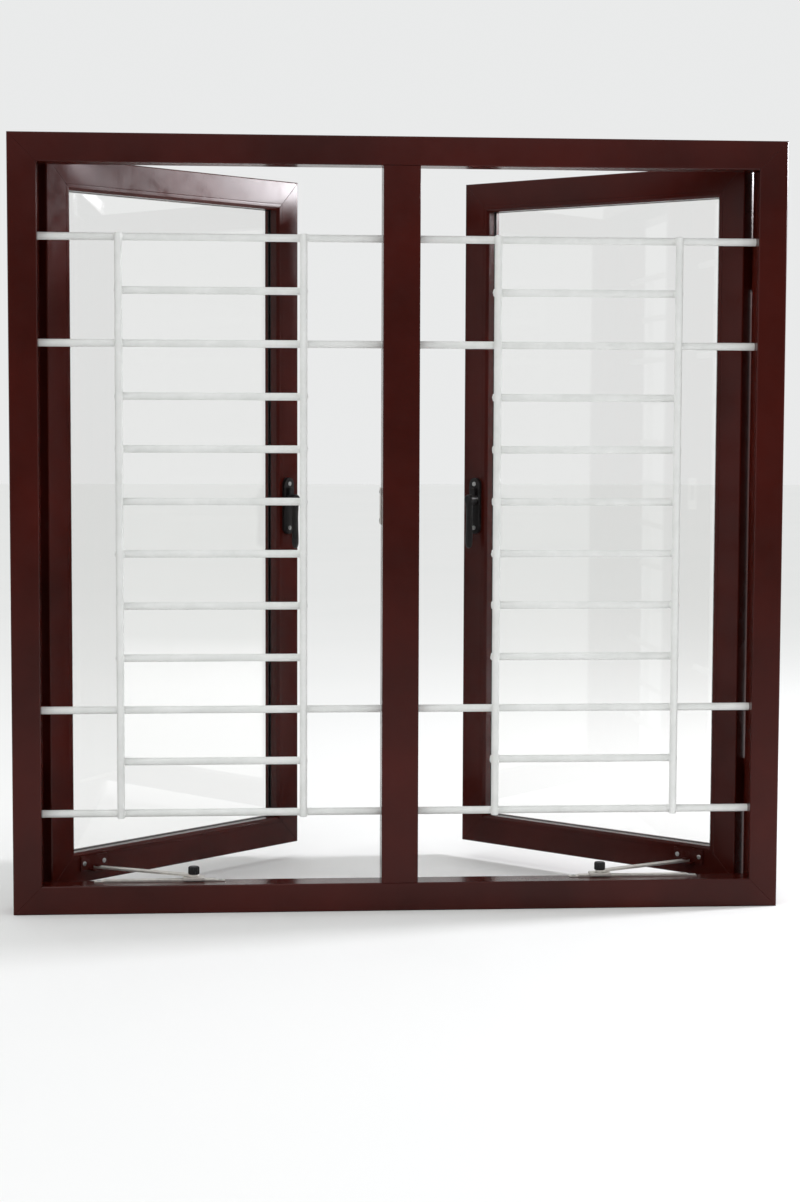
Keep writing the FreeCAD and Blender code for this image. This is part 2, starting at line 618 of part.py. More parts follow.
def hinge_leaf(name, side, end, on_sash):
    """One leaf of a butt hinge: a plate on the outer face and the knuckles that belong to it."""
    centre = HINGE_Z[end]
    total = f"({HINGE_TALL}/2)"
    towards_middle = -1 if on_sash else 1

    def reach(text):
        return f"({side})*{HINGE_X} + ({side*towards_middle})*({text})"

    def strip(label, near, far, zs):
        xs = (reach(near), reach(far))
        low, high = xs if side*towards_middle > 0 else (xs[1], xs[0])
        return box(f"{name}_{label}", (low, high), (OUTSIDE, f"{OUTSIDE} + leaf_thick"), zs)

    own = range(1 if on_sash else 0, KNUCKLES, 2)
    ends = (f"{centre} - {total}", f"{centre} + {total}")
    solids = [strip("plate", "knuckle_radius + leaf_relief", "leaf_reach", ends)]
    for step in own:
        low = f"({centre} - {total} + {step}*knuckle_height + knuckle_gap/2)"
        tall = "(knuckle_height - knuckle_gap)"
        spot = (f"({side})*{HINGE_X}", HINGE_Y, low)
        solids.append(rod(f"{name}_knuckle_{step}", spot, "+Z", "knuckle_radius", tall))
        into_plate = "knuckle_radius + leaf_relief + leaf_thick"
        solids.append(strip(f"bridge_{step}", "knuckle_radius/2", into_plate, (low, f"{low} + {tall}")))
    bore_low = (f"({side})*{HINGE_X}", HINGE_Y, f"{ends[0]} - {OVERRUN}")
    bores = [rod(f"{name}_bore", bore_low, "+Z", "pin_radius + run_gap", f"{HINGE_TALL} + 2*{OVERRUN}")]
    for index, step in enumerate(LEAF_SCREWS):
        spot = (reach("hinge_screw_reach"), f"{OUTSIDE} - {OVERRUN}", f"{centre} + {step}")
        bores.append(rod(f"{name}_hole_{index}", spot, "+Y", HOLE, f"leaf_thick + 2*{OVERRUN}"))
    return cut(name, fuse(name + "_blank", solids), bores)


def leaf_screws(name, side, end, on_sash):
    towards_middle = -1 if on_sash else 1
    x = f"({side})*{HINGE_X} + ({side*towards_middle})*hinge_screw_reach"
    return [screw(f"{name}_{index}", (x, f"{OUTSIDE} + leaf_thick", f"{HINGE_Z[end]} + {step}"), "-Y")
            for index, step in enumerate(LEAF_SCREWS)]


def make_hinges():
    leaves, pins, screws = [], [], []
    for side_name, side in SIDES:
        for end in HINGES:
            tag = f"{side_name}_{'low' if end < 0 else 'high'}"
            leaves.append(hinge_leaf(f"frame_leaf_{tag}", side, end, False))
            screws += leaf_screws(f"frame_leaf_screw_{tag}", side, end, False)
            low = f"({HINGE_Z[end]} - {HINGE_TALL}/2)"
            x = f"({side})*{HINGE_X}"
            shaft = rod(f"pin_{tag}_shaft", (x, HINGE_Y, low), "+Z", "pin_radius", HINGE_TALL)
            foot = rod(f"pin_{tag}_foot", (x, HINGE_Y, f"{low} - pin_head_height"), "+Z", "pin_head",
                       "pin_head_height")
            top = rod(f"pin_{tag}_top", (x, HINGE_Y, f"{low} + {HINGE_TALL}"), "+Z", "pin_head",
                      "pin_head_height")
            pins.append(fuse(f"pin_{tag}", [shaft, foot, top]))
    node(group("frame_leaf_group", leaves), "hinge_frame_leaves")
    node(group("pin_group", pins), "hinge_pins")
    node(group("frame_leaf_screw_group", screws), "hinge_frame_screws")


# ---- sashes ---------------------------------------------------------------------------------

SASH_SECTION = [
    [("edge_chamfer", "0"), ("sash_depth", "0"), ("sash_depth", "sash_face"),
     ("sash_depth - fin_depth", "sash_face"), ("sash_depth - fin_depth", SASH_BOX), ("0", SASH_BOX),
     ("0", "edge_chamfer")],
    box_corners("wall", "sash_depth - wall", "wall", f"{SASH_BOX} - wall"),
]
BEAD_SECTION = [
    [("0", SASH_BOX), ("0", "sash_face - bead_chamfer"), ("bead_chamfer", "sash_face"),
     (BEAD_DEPTH, "sash_face"), (BEAD_DEPTH, SASH_BOX)],
    [("bead_wall", f"{SASH_BOX} + bead_wall"), ("bead_wall", "sash_face - bead_wall - bead_chamfer"),
     ("bead_wall + bead_chamfer", "sash_face - bead_wall"),
     (f"{BEAD_DEPTH} - bead_wall", "sash_face - bead_wall"),
     (f"{BEAD_DEPTH} - bead_wall", f"{SASH_BOX} + bead_wall")],
]


def sash_places(side):
    """Where each member starts on the shut sash, its turn and its length; keyed by its job."""
    left, right = (f"-{SASH_OUTER}", f"-{SASH_INNER}") if side < 0 else (SASH_INNER, SASH_OUTER)
    places = {
        "bottom_rail": ((left, SASH_ROOM, SASH_LOW), 0, SASH_WIDTH),
        "top_rail": ((right, SASH_ROOM, SASH_TOP), 180, SASH_WIDTH),
    }
    left_job, right_job = ("hinge_stile", "free_stile") if side < 0 else ("free_stile", "hinge_stile")
    places[left_job] = ((left, SASH_ROOM, SASH_TOP), 90, SASH_HEIGHT)
    places[right_job] = ((right, SASH_ROOM, SASH_LOW), -90, SASH_HEIGHT)
    return places


def along_member(side, job, z):
    """Distance along an upright member at a height: the members on the left run downwards."""
    on_left = (side < 0) == (job == "hinge_stile")
    return f"({SASH_TOP} - ({z}))" if on_left else f"(({z}) - {SASH_LOW})"


def sash_member_holes(body, side, job):
    if job == "hinge_stile":
        screws = [(along_member(side, job, f"{HINGE_Z[end]} + {step}"),
                   f"{SASH_OUTER} - {HINGE_X} + hinge_screw_reach", HOLE)
                  for end in HINGES for step in LEAF_SCREWS]
        holes_back(body, "hinge_screws", "sash_depth - wall", "wall", screws)
    if job == "free_stile":
        width = f"{HANDLE_X} - {SASH_INNER}"
        circles = [(along_member(side, job, HANDLE_Z), width, "spindle_hole")]
        circles += [(along_member(side, job, z), width, HOLE) for z in PLATE_SCREWS]
        holes_back(body, "handle_holes", "0", "wall", circles)
    if job == "bottom_rail":
        centre = f"({HINGE_X} - stay_along)"
        circles = []
        for step in (-1, 1):
            x = f"({side})*{centre} + ({step})*{BRACKET_SCREW_STEP}"
            start = f"-{SASH_OUTER}" if side < 0 else SASH_INNER
            circles.append((f"{x} - ({start})", f"{BRACKET_SCREW_Z} - {SASH_LOW}", HOLE))
        holes_back(body, "bracket_holes", "0", "wall", circles)


def make_sash(side_name, side):
    tag = f"sash_{side_name}"
    bead_sticks = []
    for job, (spot, angle, length) in sash_places(side).items():
        body = section(f"{tag}_{job}", SASH_SECTION, length)
        mitre(body, length, "sash_face")
        sash_member_holes(body, side, job)
        put(body, swing(side), place(spot, (0, 1, 0), angle))
        node(body, f"{tag}_{job}")
        bead = section(f"{tag}_bead_{job}", BEAD_SECTION, length)
        mitre(bead, length, "sash_face")
        put(bead, place(spot, (0, 1, 0), angle))
        bead_sticks.append(bead)
    node(put(group(f"{tag}_bead_group", bead_sticks), swing(side)), f"{tag}_glazing_beads")

    left, right = (f"-{SASH_OUTER}", f"-{SASH_INNER}") if side < 0 else (SASH_INNER, SASH_OUTER)
    corners = corner_places(left, right, SASH_LOW, SASH_TOP, "(wall + cleat_gap)")
    make_cleats(f"{tag}_corner_cleats", corners, f"({SASH_BOX} - 2*wall)", "(sash_depth - 2*wall)",
                f"({SASH_ROOM} + wall)", swing(side))

    edge = f"({SASH_BOX} + glass_gap)"
    glass_ys = (GLASS_ROOM, f"{GLASS_ROOM} + glass_thick")
    glass_xs = (f"{SASH_INNER} + {edge}", f"{SASH_OUTER} - {edge}")
    glass_zs = (f"{SASH_LOW} + {edge}", f"{SASH_TOP} - {edge}")
    pane = box(f"{tag}_pane", glass_xs, glass_ys, glass_zs, side)
    node(put(group(f"{tag}_pane_group", [pane]), swing(side)), f"{tag}_glass")

    outer_ring, inner_ring = (
        (f"{SASH_INNER} + {reach}", f"{SASH_OUTER} - {reach}",
         f"{SASH_LOW} + {reach}", f"{SASH_TOP} - {reach}")
        for reach in (f"({edge} + gasket_inset)", "sash_face"))
    room_ys = (f"{GLASS_ROOM} - gasket_thick", GLASS_ROOM)
    out_ys = (glass_ys[1], f"{glass_ys[1]} + gasket_thick")
    gaskets = [ring(f"{tag}_gasket_room", side, outer_ring, inner_ring, room_ys),
               ring(f"{tag}_gasket_out", side, outer_ring, inner_ring, out_ys)]
    node(put(group(f"{tag}_gasket_group", gaskets), swing(side)), f"{tag}_glazing_gaskets")

    blocks = []
    for index, share in enumerate((1, 3)):
        centre = f"({SASH_INNER} + {SASH_WIDTH}*{share}/4)"
        xs = (f"{centre} - block_length/2", f"{centre} + block_length/2")
        zs = (f"{SASH_LOW} + {SASH_BOX}", f"{SASH_LOW} + {edge}")
        blocks.append(box(f"{tag}_block_{index}", xs, glass_ys, zs, side))
    node(put(group(f"{tag}_block_group", blocks), swing(side)), f"{tag}_setting_blocks")

    leaves, screws = [], []
    for end in HINGES:
        level = "low" if end < 0 else "high"
        leaves.append(hinge_leaf(f"{tag}_leaf_{level}", side, end, True))
        screws += leaf_screws(f"{tag}_leaf_screw_{level}", side, end, True)
    node(put(group(f"{tag}_leaf_group", leaves), swing(side)), f"{tag}_hinge_leaves")
    node(put(group(f"{tag}_leaf_screw_group", screws), swing(side)), f"{tag}_hinge_screws")


# ---- handles --------------------------------------------------------------------------------

def make_handle(side_name, side):
    tag = f"handle_{side_name}"
    front = f"({SASH_ROOM} - plate_thick)"
    x = f"({side})*{HANDLE_X}"
    half = "handle_plate/2"
    ys = (front, SASH_ROOM)
    plate = box(f"{tag}_plate", (f"{HANDLE_X} - {half}", f"{HANDLE_X} + {half}"), ys,
                (f"{HANDLE_Z} - plate_down", f"{HANDLE_Z} + plate_up"), side)
    ends = [rod(f"{tag}_plate_end_{index}", (x, front, z), "+Y", half, "plate_thick")
            for index, z in enumerate(PLATE_SCREWS)]
    tools = [rod(f"{tag}_spindle_hole", (x, front, HANDLE_Z), "+Y", "spindle_hole", "plate_thick")]
    tools += [rod(f"{tag}_screw_hole_{index}", (x, front, z), "+Y", HOLE, "plate_thick")
              for index, z in enumerate(PLATE_SCREWS)]
    base = cut(f"{tag}_base_plate", fuse(f"{tag}_blank", [plate] + ends), tools)
    node(put(base, swing(side)), f"{tag}_base")
    screws = [screw(f"{tag}_screw_{index}", (x, front, z), "+Y", "plate_thick + wall + handle_screw_bite")
              for index, z in enumerate(PLATE_SCREWS)]
    node(put(group(f"{tag}_screw_group", screws), swing(side)), f"{tag}_screws")

    hub = rod(f"{tag}_hub", (x, LEVER_Y, HANDLE_Z), "-Y", "hub_radius", "hub_depth")
    grip_front = f"({LEVER_Y} - hub_depth)"
    wide = "lever_width/2"
    grip = box(f"{tag}_grip", (f"{HANDLE_X} - {wide}", f"{HANDLE_X} + {wide}"),
               (grip_front, f"{grip_front} + lever_thick"), (f"{HANDLE_Z} - lever_length", HANDLE_Z), side)
    tip = rod(f"{tag}_tip", (x, grip_front, f"{HANDLE_Z} - lever_length"), "+Y", wide, "lever_thick")
    slim = "nose_width/2"
    nose = box(f"{tag}_nose", (f"{HANDLE_X} - {slim}", f"{HANDLE_X} + {slim}"), (NOSE_Y, LEVER_Y),
               (HANDLE_Z, f"{HANDLE_Z} + nose_length"), side)
    square = "spindle_side/2"
    seat = f"({LEVER_Y} - hub_depth/2)"
    spindle_size = ((f"{HANDLE_X} - {square}", f"{HANDLE_X} + {square}"),
                    (seat, f"{SASH_ROOM} + spindle_reach"),
                    (f"{HANDLE_Z} - {square}", f"{HANDLE_Z} + {square}"))
    socket = box(f"{tag}_socket", *spindle_size, side)
    lever = cut(f"{tag}_lever_body", fuse(f"{tag}_lever_blank", [hub, grip, tip, nose]), [socket])
    node(put(lever, swing(side)), f"{tag}_lever")
    square_bar = box(f"{tag}_square_bar", *spindle_size, side)
    node(put(group(f"{tag}_spindle_group", [square_bar]), swing(side)), f"{tag}_spindle")


# ---- stays ----------------------------------------------------------------------------------

def make_stay_rails():
    rails, screws = [], []
    for side_name, side in SIDES:
        ys = (f"{RAIL_Y} - rail_width/2", f"{RAIL_Y} + rail_width/2")
        near, far = f"({SLIDER_X} + rail_behind)", f"({SLIDER_X} - rail_ahead)"
        tab_top = "frame_face + rail_tab_height"
        low = box(f"rail_base_{side_name}", (far, near), ys, ("frame_face", tab_top), side)
        high = box(f"rail_top_{side_name}", (f"{far} + rail_tab", f"{near} - rail_tab"), ys,
                   ("frame_face", "frame_face + rail_height"), side)
        tools = []
        for end in (-1, 1):
            mark = f"{side_name}_{end + 1}"
            spot = (f"({side})*{stay_rail_screw_x(end)}", RAIL_Y, tab_top)
            screws.append(screw(f"rail_screw_{mark}", spot, "-Z"))
            tools.append(rod(f"rail_hole_{mark}", spot, "-Z", HOLE, "rail_tab_height"))
        rails.append(cut(f"rail_{side_name}", fuse(f"rail_blank_{side_name}", [low, high]), tools))
    node(group("rail_group", rails), "stay_rails")
    return screws


def make_stay(side_name, side):
    tag = f"stay_{side_name}"
    # bracket on the shut sash
    pivot_x = f"({HINGE_X} - stay_along)"
    pivot_y = f"({SASH_ROOM} - stay_stand)"
    face = (f"{SASH_ROOM} - bracket_thick", SASH_ROOM)
    plate = box(f"{tag}_bracket_plate", (f"{pivot_x} - bracket_half", f"{pivot_x} + bracket_half"), face,
                (BRACKET_LOW, f"{BRACKET_LOW} + bracket_tall"), side)
    shelf_top = f"({ARM_Z} - slider_gap)"
    shelf = box(f"{tag}_bracket_shelf", (f"{pivot_x} - shelf_half", f"{pivot_x} + shelf_half"),
                (f"{pivot_y} - shelf_lip", SASH_ROOM), (f"{shelf_top} - bracket_thick", shelf_top), side)
    stud = rod(f"{tag}_bracket_stud", (f"({side})*{pivot_x}", pivot_y, shelf_top), "+Z", "stud_radius",
               "arm_thick + 2*slider_gap")
    cap_low = f"{shelf_top} + arm_thick + 2*slider_gap"
    cap = rod(f"{tag}_bracket_cap", (f"({side})*{pivot_x}", pivot_y, cap_low), "+Z", "stud_head",
              "stud_head_height")
    spots = [(f"({side})*{pivot_x} + ({step})*{BRACKET_SCREW_STEP}", face[0], BRACKET_SCREW_Z)
             for step in (-1, 1)]
    tools = [rod(f"{tag}_bracket_hole_{index}", spot, "+Y", HOLE, "bracket_thick")
             for index, spot in enumerate(spots)]
    bracket = cut(f"{tag}_bracket_body", fuse(f"{tag}_bracket_blank", [plate, shelf, stud, cap]), tools)
    node(put(bracket, swing(side)), f"{tag}_bracket")
    screws = [screw(f"{tag}_bracket_screw_{index}", spot, "+Y") for index, spot in enumerate(spots)]
    node(put(group(f"{tag}_bracket_screw_group", screws), swing(side)), f"{tag}_bracket_screws")

    # arm, drawn along +X from the bracket's pivot
    half = "arm_width/2"
    bar = box(f"{tag}_bar", ("0", "stay_arm"), (f"-{half}", half), ("0", "arm_thick"))
    eyes = [rod(f"{tag}_eye_{index}", (x, "0", "0"), "+Z", half, "arm_thick")
            for index, x in enumerate(("0", "stay_arm"))]
    bores = [rod(f"{tag}_bore_{index}", (x, "0", "0"), "+Z", "stud_radius + run_gap", "arm_thick")
             for index, x in enumerate(("0", "stay_arm"))]
    arm = cut(f"{tag}_arm_body", fuse(f"{tag}_arm_blank", [bar] + eyes), bores)
    turn = STAY_ANGLE if side < 0 else f"180 deg - {STAY_ANGLE}"
    put(arm, place((f"({side})*{STAY_B_X}", STAY_B_Y, ARM_Z), angle=turn))
    node(arm, f"{tag}_arm")

    # slider and knob
    x = f"({side})*{SLIDER_X}"
    xs = (f"{SLIDER_X} - slider_length/2", f"{SLIDER_X} + slider_length/2")
    inner = "(rail_width/2 + slider_play)"
    outer = f"({inner} + slider_wall)"
    deck = f"({ARM_Z} - slider_gap)"
    top = box(f"{tag}_slider_top", xs, (f"{RAIL_Y} - {outer}", f"{RAIL_Y} + {outer}"),
              (SLIDER_LOW, f"{SLIDER_LOW} + slider_deck"), side)
    walls = [box(f"{tag}_slider_wall_{index}", xs, ys, (f"{SLIDER_LOW} - rail_height/2", SLIDER_LOW), side)
             for index, ys in enumerate(((f"{RAIL_Y} - {outer}", f"{RAIL_Y} - {inner}"),
                                         (f"{RAIL_Y} + {inner}", f"{RAIL_Y} + {outer}")))]
    boss = rod(f"{tag}_boss", (x, RAIL_Y, SLIDER_LOW), "+Z", "arm_width/2", f"{deck} - {SLIDER_LOW}")
    knob_low = f"({deck} + arm_thick + 2*slider_gap)"
    post_tall = f"{knob_low} - {deck} + knob_height/2"
    post = rod(f"{tag}_post", (x, RAIL_Y, deck), "+Z", "stud_radius", post_tall)
    node(fuse(f"{tag}_slider_body", [top] + walls + [boss, post]), f"{tag}_slider")
    grip = rod(f"{tag}_knob_grip", (x, RAIL_Y, knob_low), "+Z", "knob_radius", "knob_height")
    socket = rod(f"{tag}_knob_socket", (x, RAIL_Y, knob_low), "+Z", "stud_radius + run_gap",
                 "knob_height/2 + slider_gap")
    node(cut(f"{tag}_knob_body", grip, [socket]), f"{tag}_knob")


# ---- the whole window -----------------------------------------------------------------------

make_frame_members()
make_mullion()
make_mullion_fixings()
frame_corners = corner_places("-frame_width/2", "frame_width/2", "0", "frame_height", "(wall + cleat_gap)")
make_cleats("frame_corner_cleats", frame_corners, "(frame_face - 2*wall)", "(front_depth - 2*wall)",
            f"({ROOM} + wall)")
make_grille()
make_seals()
make_drain_caps()
make_hinges()
hardware_screws = make_keeps() + make_stay_rails()
node(group("hardware_screw_group", hardware_screws), "keep_and_rail_screws")
for side_name, side in SIDES:
    make_sash(side_name, side)
    make_handle(side_name, side)
    make_stay(side_name, side)

doc.recompute()

for thing in doc.Objects:
    for fault in ("Invalid", "Error"):
        if fault in thing.State:
            raise RuntimeError(f"{thing.Name} is {fault}")
for thing in nodes:
    if thing.Shape.isNull() or not thing.Shape.isValid():
        raise RuntimeError(f"{thing.Label} has no valid shape")

os.makedirs("parts", exist_ok=True)
for thing in nodes:
    thing.Shape.exportStep(f"parts/{thing.Label}.step")
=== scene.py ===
import json
import math

import bmesh
import bpy
from mathutils import Matrix, Vector


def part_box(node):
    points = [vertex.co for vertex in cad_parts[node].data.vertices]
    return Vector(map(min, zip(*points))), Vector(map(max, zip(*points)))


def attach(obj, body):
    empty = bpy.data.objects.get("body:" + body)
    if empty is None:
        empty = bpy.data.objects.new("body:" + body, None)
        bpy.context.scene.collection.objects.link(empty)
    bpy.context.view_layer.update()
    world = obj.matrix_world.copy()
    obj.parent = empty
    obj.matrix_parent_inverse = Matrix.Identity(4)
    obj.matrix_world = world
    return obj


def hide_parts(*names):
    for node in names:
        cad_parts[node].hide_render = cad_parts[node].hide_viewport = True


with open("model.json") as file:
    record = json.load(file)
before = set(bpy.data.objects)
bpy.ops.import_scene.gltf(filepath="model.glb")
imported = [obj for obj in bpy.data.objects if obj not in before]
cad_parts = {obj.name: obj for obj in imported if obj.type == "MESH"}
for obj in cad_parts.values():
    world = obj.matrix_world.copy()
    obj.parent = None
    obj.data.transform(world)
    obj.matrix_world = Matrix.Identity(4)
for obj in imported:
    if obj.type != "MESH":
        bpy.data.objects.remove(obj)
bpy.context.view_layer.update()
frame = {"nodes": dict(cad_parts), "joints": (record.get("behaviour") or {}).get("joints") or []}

bl_info = {
    "name": "Casement window",
    "version": (1, 0, 0),
    "blender": (4, 5, 0),
    "location": "3D View > Sidebar > Casement window",
    "description": "Finishes a two-sash aluminium casement window with its grille, hardware and stage",
    "category": "Object",
}

MM = 0.001
SIDES = ("left", "right")
JOINTS = {joint["name"]: joint for joint in frame["joints"]}
RAILS_AND_STILES = ("top_rail", "bottom_rail", "hinge_stile", "free_stile")

SECTION_SHORTEST = 1.4*MM    # edges of a section that are shorter than this stay sharp
HARDWARE_SHORTEST = 2.5*MM   # the same on hardware, so that bores keep their edges
PLATE_SHORTEST = 0.2*MM      # the same on a handle's base plate, whose round ends are eased too
PLATE_EASING = 1.2           # mm
KEEP_EASING = 0.35           # mm
CAP_EASING = 1.1             # mm
MERGE_DISTANCE = 0.002*MM
FLAT_ANGLE = math.radians(0.5)   # faces that meet flatter than this are one face
EDGE_ANGLE = math.radians(30)    # edges that turn more than this are eased
SMOOTH_ANGLE = math.radians(40)  # edges that turn more than this are shaded sharp
BAR_END_BEVEL = 1.1*MM
BAR_END_SHARE = 0.86         # of the bar's radius, at its very end
PIN_HEAD_HEIGHT = 2*MM
PIN_SHOULDER = 0.02*MM


# ---- places ---------------------------------------------------------------------------------

def opened(side):
    """Turns the shut sash to where it stands open: the swing's lower limit is shut."""
    swing = JOINTS[f"sash_{side}_swing"]
    pivot = Vector(swing["pos_m"])
    angle = math.radians(-swing["range_deg"][0])
    turn = Matrix.Rotation(angle, 4, Vector(swing["axis"]))
    return Matrix.Translation(pivot) @ turn @ Matrix.Translation(-pivot)


def merged(node, group_of=None):
    """A copy of a CAD node's mesh with its loose triangles joined up, but not from one group to another
    when solids that touch are told apart."""
    whole = bmesh.new()
    source = bmesh.new()
    source.from_mesh(frame["nodes"][node].data)
    groups = [group_of(face) if group_of else 0 for face in source.faces]
    for group in sorted(set(groups)):
        part = source.copy()
        others = [face for face, its in zip(part.faces, groups) if its != group]
        bmesh.ops.delete(part, geom=others, context="FACES")
        bmesh.ops.remove_doubles(part, verts=part.verts, dist=MERGE_DISTANCE)
        mesh = bpy.data.meshes.new("workpiece")
        part.to_mesh(mesh)
        whole.from_mesh(mesh)
        bpy.data.meshes.remove(mesh)
        part.free()
    source.free()
    return whole


def bead_side(side):
    """Tells the four mitred beads of a sash apart: by which edge of the glass is nearest, seen just inside
    the bead's skin, so that the mitre faces fall to their own bead."""
    back = opened(side).inverted()
    low, high = extent([p for points in solids(f"sash_{side}_glass", opened(side)) for p in points])

    def side_of(face):
        spot = back @ (face.calc_center_median() - 0.1*MM*face.normal)
        return min(enumerate((spot.x - low.x, high.x - spot.x, spot.z - low.z, high.z - spot.z)),
                   key=lambda pair: pair[1])[0]

    return side_of


def solids(node, turn=None):
    """The corner points of each separate solid of a node, turned back if a turn is given."""
    mesh = merged(node)
    back = (turn or Matrix()).inverted()
    left = set(mesh.verts)
    found = []
    while left:
        stack = [left.pop()]
        points = []
        while stack:
            vert = stack.pop()
            points.append(back @ vert.co)
            for edge in vert.link_edges:
                other = edge.other_vert(vert)
                if other in left:
                    left.remove(other)
                    stack.append(other)
        found.append(points)
    mesh.free()
    return sorted(found, key=lambda points: tuple(round(sum(p[i] for p in points)/len(points), 4)
                                                  for i in (2, 0, 1)))


def extent(points):
    """Lowest and highest corner of some points."""
    return (Vector([min(p[i] for p in points) for i in range(3)]),
            Vector([max(p[i] for p in points) for i in range(3)]))


# ---- nodes ----------------------------------------------------------------------------------

def add(tree, kind, inputs=None, **settings):
    """Adds a node with its settings; an input is a value, or the output socket that feeds it."""
    node = tree.nodes.new(kind)
    for name, value in settings.items():
        setattr(node, name, value)
    for key, value in (inputs or {}).items():
        if isinstance(value, bpy.types.NodeSocket):
            tree.links.new(value, node.inputs[key])
        else:
            node.inputs[key].default_value = value
    return node


def linear(code):
    """An sRGB hex colour in linear light."""
    shares = [int(code[i:i + 2], 16)/255 for i in (0, 2, 4)]
    return [s/12.92 if s <= 0.04045 else ((s + 0.055)/1.055)**2.4 for s in shares] + [1.0]


def per_mm(size):
    """The scale of a pattern on Object coordinates whose cells are this many millimetres."""
    return 1/(size*MM)


def start_material(name):
    material = bpy.data.materials.new(name)
    material.use_nodes = True
    tree = material.node_tree
    tree.nodes.clear()
    return material, tree, add(tree, "ShaderNodeTexCoord").outputs["Object"]


def end_material(tree, shader):
    add(tree, "ShaderNodeOutputMaterial", {"Surface": shader.outputs[0]})


def spread(tree, value, low, high):
    """A noise value spread between two numbers."""
    return add(tree, "ShaderNodeMapRange", {"Value": value, "From Min": 0.3, "From Max": 0.7,
                                            "To Min": low, "To Max": high}).outputs[0]


def blend_colours(tree, share, first, second):
    return add(tree, "ShaderNodeMix", {"Factor": share, 6: linear(first), 7: linear(second)},
               data_type="RGBA").outputs[2]


def noise(tree, where, size, detail=2.0, roughness=0.5, stretch=None):
    """Noise with cells of a size in millimetres, stretched along an axis if asked."""
    if stretch:
        where = add(tree, "ShaderNodeMapping", {"Vector": where, "Scale": stretch}).outputs[0]
    return add(tree, "ShaderNodeTexNoise", {"Vector": where, "Scale": per_mm(size), "Detail": detail,
                                            "Roughness": roughness}).outputs[0]


def bump(tree, height, depth, over=None):
    """A relief whose depth is in millimetres, over another relief if given."""
    inputs = {"Height": height, "Distance": depth*MM, "Strength": 1.0}
    if over is not None:
        inputs["Normal"] = over
    return add(tree, "ShaderNodeBump", inputs).outputs[0]


# ---- materials ------------------------------------------------------------------------------

def powder_coat(name, light, dark, gloss):
    """Glossy polyester powder coat on aluminium, sprayed and baked: a deep even colour that drifts a little
    along a length, sharp reflections softened by orange peel about 3 mm across, and a thin dusty bloom."""
    material, tree, where = start_material(name)
    drift = noise(tree, where, 160, 3.0)
    peel = noise(tree, where, 3.2, 1.0)
    dust = noise(tree, where, 26, 5.0, 0.65)
    colour = blend_colours(tree, spread(tree, drift, 0, 1), light, dark)
    rough = spread(tree, dust, gloss, gloss + 0.09)
    shader = add(tree, "ShaderNodeBsdfPrincipled", {
        "Base Color": colour, "Roughness": rough, "IOR": 1.5, "Specular IOR Level": 0.2,
        "Normal": bump(tree, peel, 0.012)})
    end_material(tree, shader)
    return material


def enamel_paint(name, light, dark):
    """White gloss enamel brushed over mild steel: slight yellowing and grey handling marks, a soft shine,
    faint brush lines round the bar and small runs."""
    material, tree, where = start_material(name)
    marks = noise(tree, where, 45, 6.0, 0.7)
    strokes = noise(tree, where, 1.4, 2.0)
    runs = noise(tree, where, 9, 1.0)
    colour = blend_colours(tree, spread(tree, marks, 0, 1), light, dark)
    relief = bump(tree, runs, 0.08, bump(tree, strokes, 0.02))
    shader = add(tree, "ShaderNodeBsdfPrincipled", {
        "Base Color": colour, "Roughness": spread(tree, marks, 0.26, 0.42), "IOR": 1.5,
        "Coat Weight": 0.15, "Coat Roughness": 0.15, "Normal": relief})
    end_material(tree, shader)
    return material


def moulded_black(name, light, dark, rough, grain, depth):
    """Black rubber, nylon or satin coating: nearly black, with a fine moulded or sprayed grain that breaks
    up the highlight and is drawn a little coarser than the real one so that it shows."""
    material, tree, where = start_material(name)
    drift = noise(tree, where, 30, 4.0)
    skin = noise(tree, where, grain, 2.0)
    colour = blend_colours(tree, spread(tree, drift, 0, 1), light, dark)
    shader = add(tree, "ShaderNodeBsdfPrincipled", {
        "Base Color": colour, "Roughness": spread(tree, drift, rough, rough + 0.12), "IOR": 1.5,
        "Specular IOR Level": 0.3, "Normal": bump(tree, skin, depth)})
    end_material(tree, shader)
    return material


def drawn_metal(name, light, dark, rough, lines, stretch):
    """Bare metal drawn, rolled or extruded: bright, with fine lines along the way it was worked, drawn
    coarser than the real ones so that they show, and dull patches where it was handled."""
    material, tree, where = start_material(name)
    scratch = noise(tree, where, lines, 3.0, 0.6, stretch)
    patch = noise(tree, where, 14, 4.0, 0.6)
    colour = blend_colours(tree, spread(tree, patch, 0, 1), light, dark)
    shader = add(tree, "ShaderNodeBsdfPrincipled", {
        "Base Color": colour, "Roughness": spread(tree, scratch, rough, rough + 0.18), "Metallic": 1.0,
        "Normal": bump(tree, scratch, 0.012)})
    end_material(tree, shader)
    return material


def float_glass(name):
    """Clear float glass: nearly colourless, with sharp reflections, and a faint film of dust that dulls them
    in patches about 60 mm across."""
    material, tree, where = start_material(name)
    film = noise(tree, where, 60, 5.0, 0.6)
    shader = add(tree, "ShaderNodeBsdfPrincipled", {
        "Base Color": linear("fdfdfc"), "Roughness": spread(tree, film, 0.0, 0.02), "IOR": 1.52,
        "Transmission Weight": 1.0})
    end_material(tree, shader)
    return material


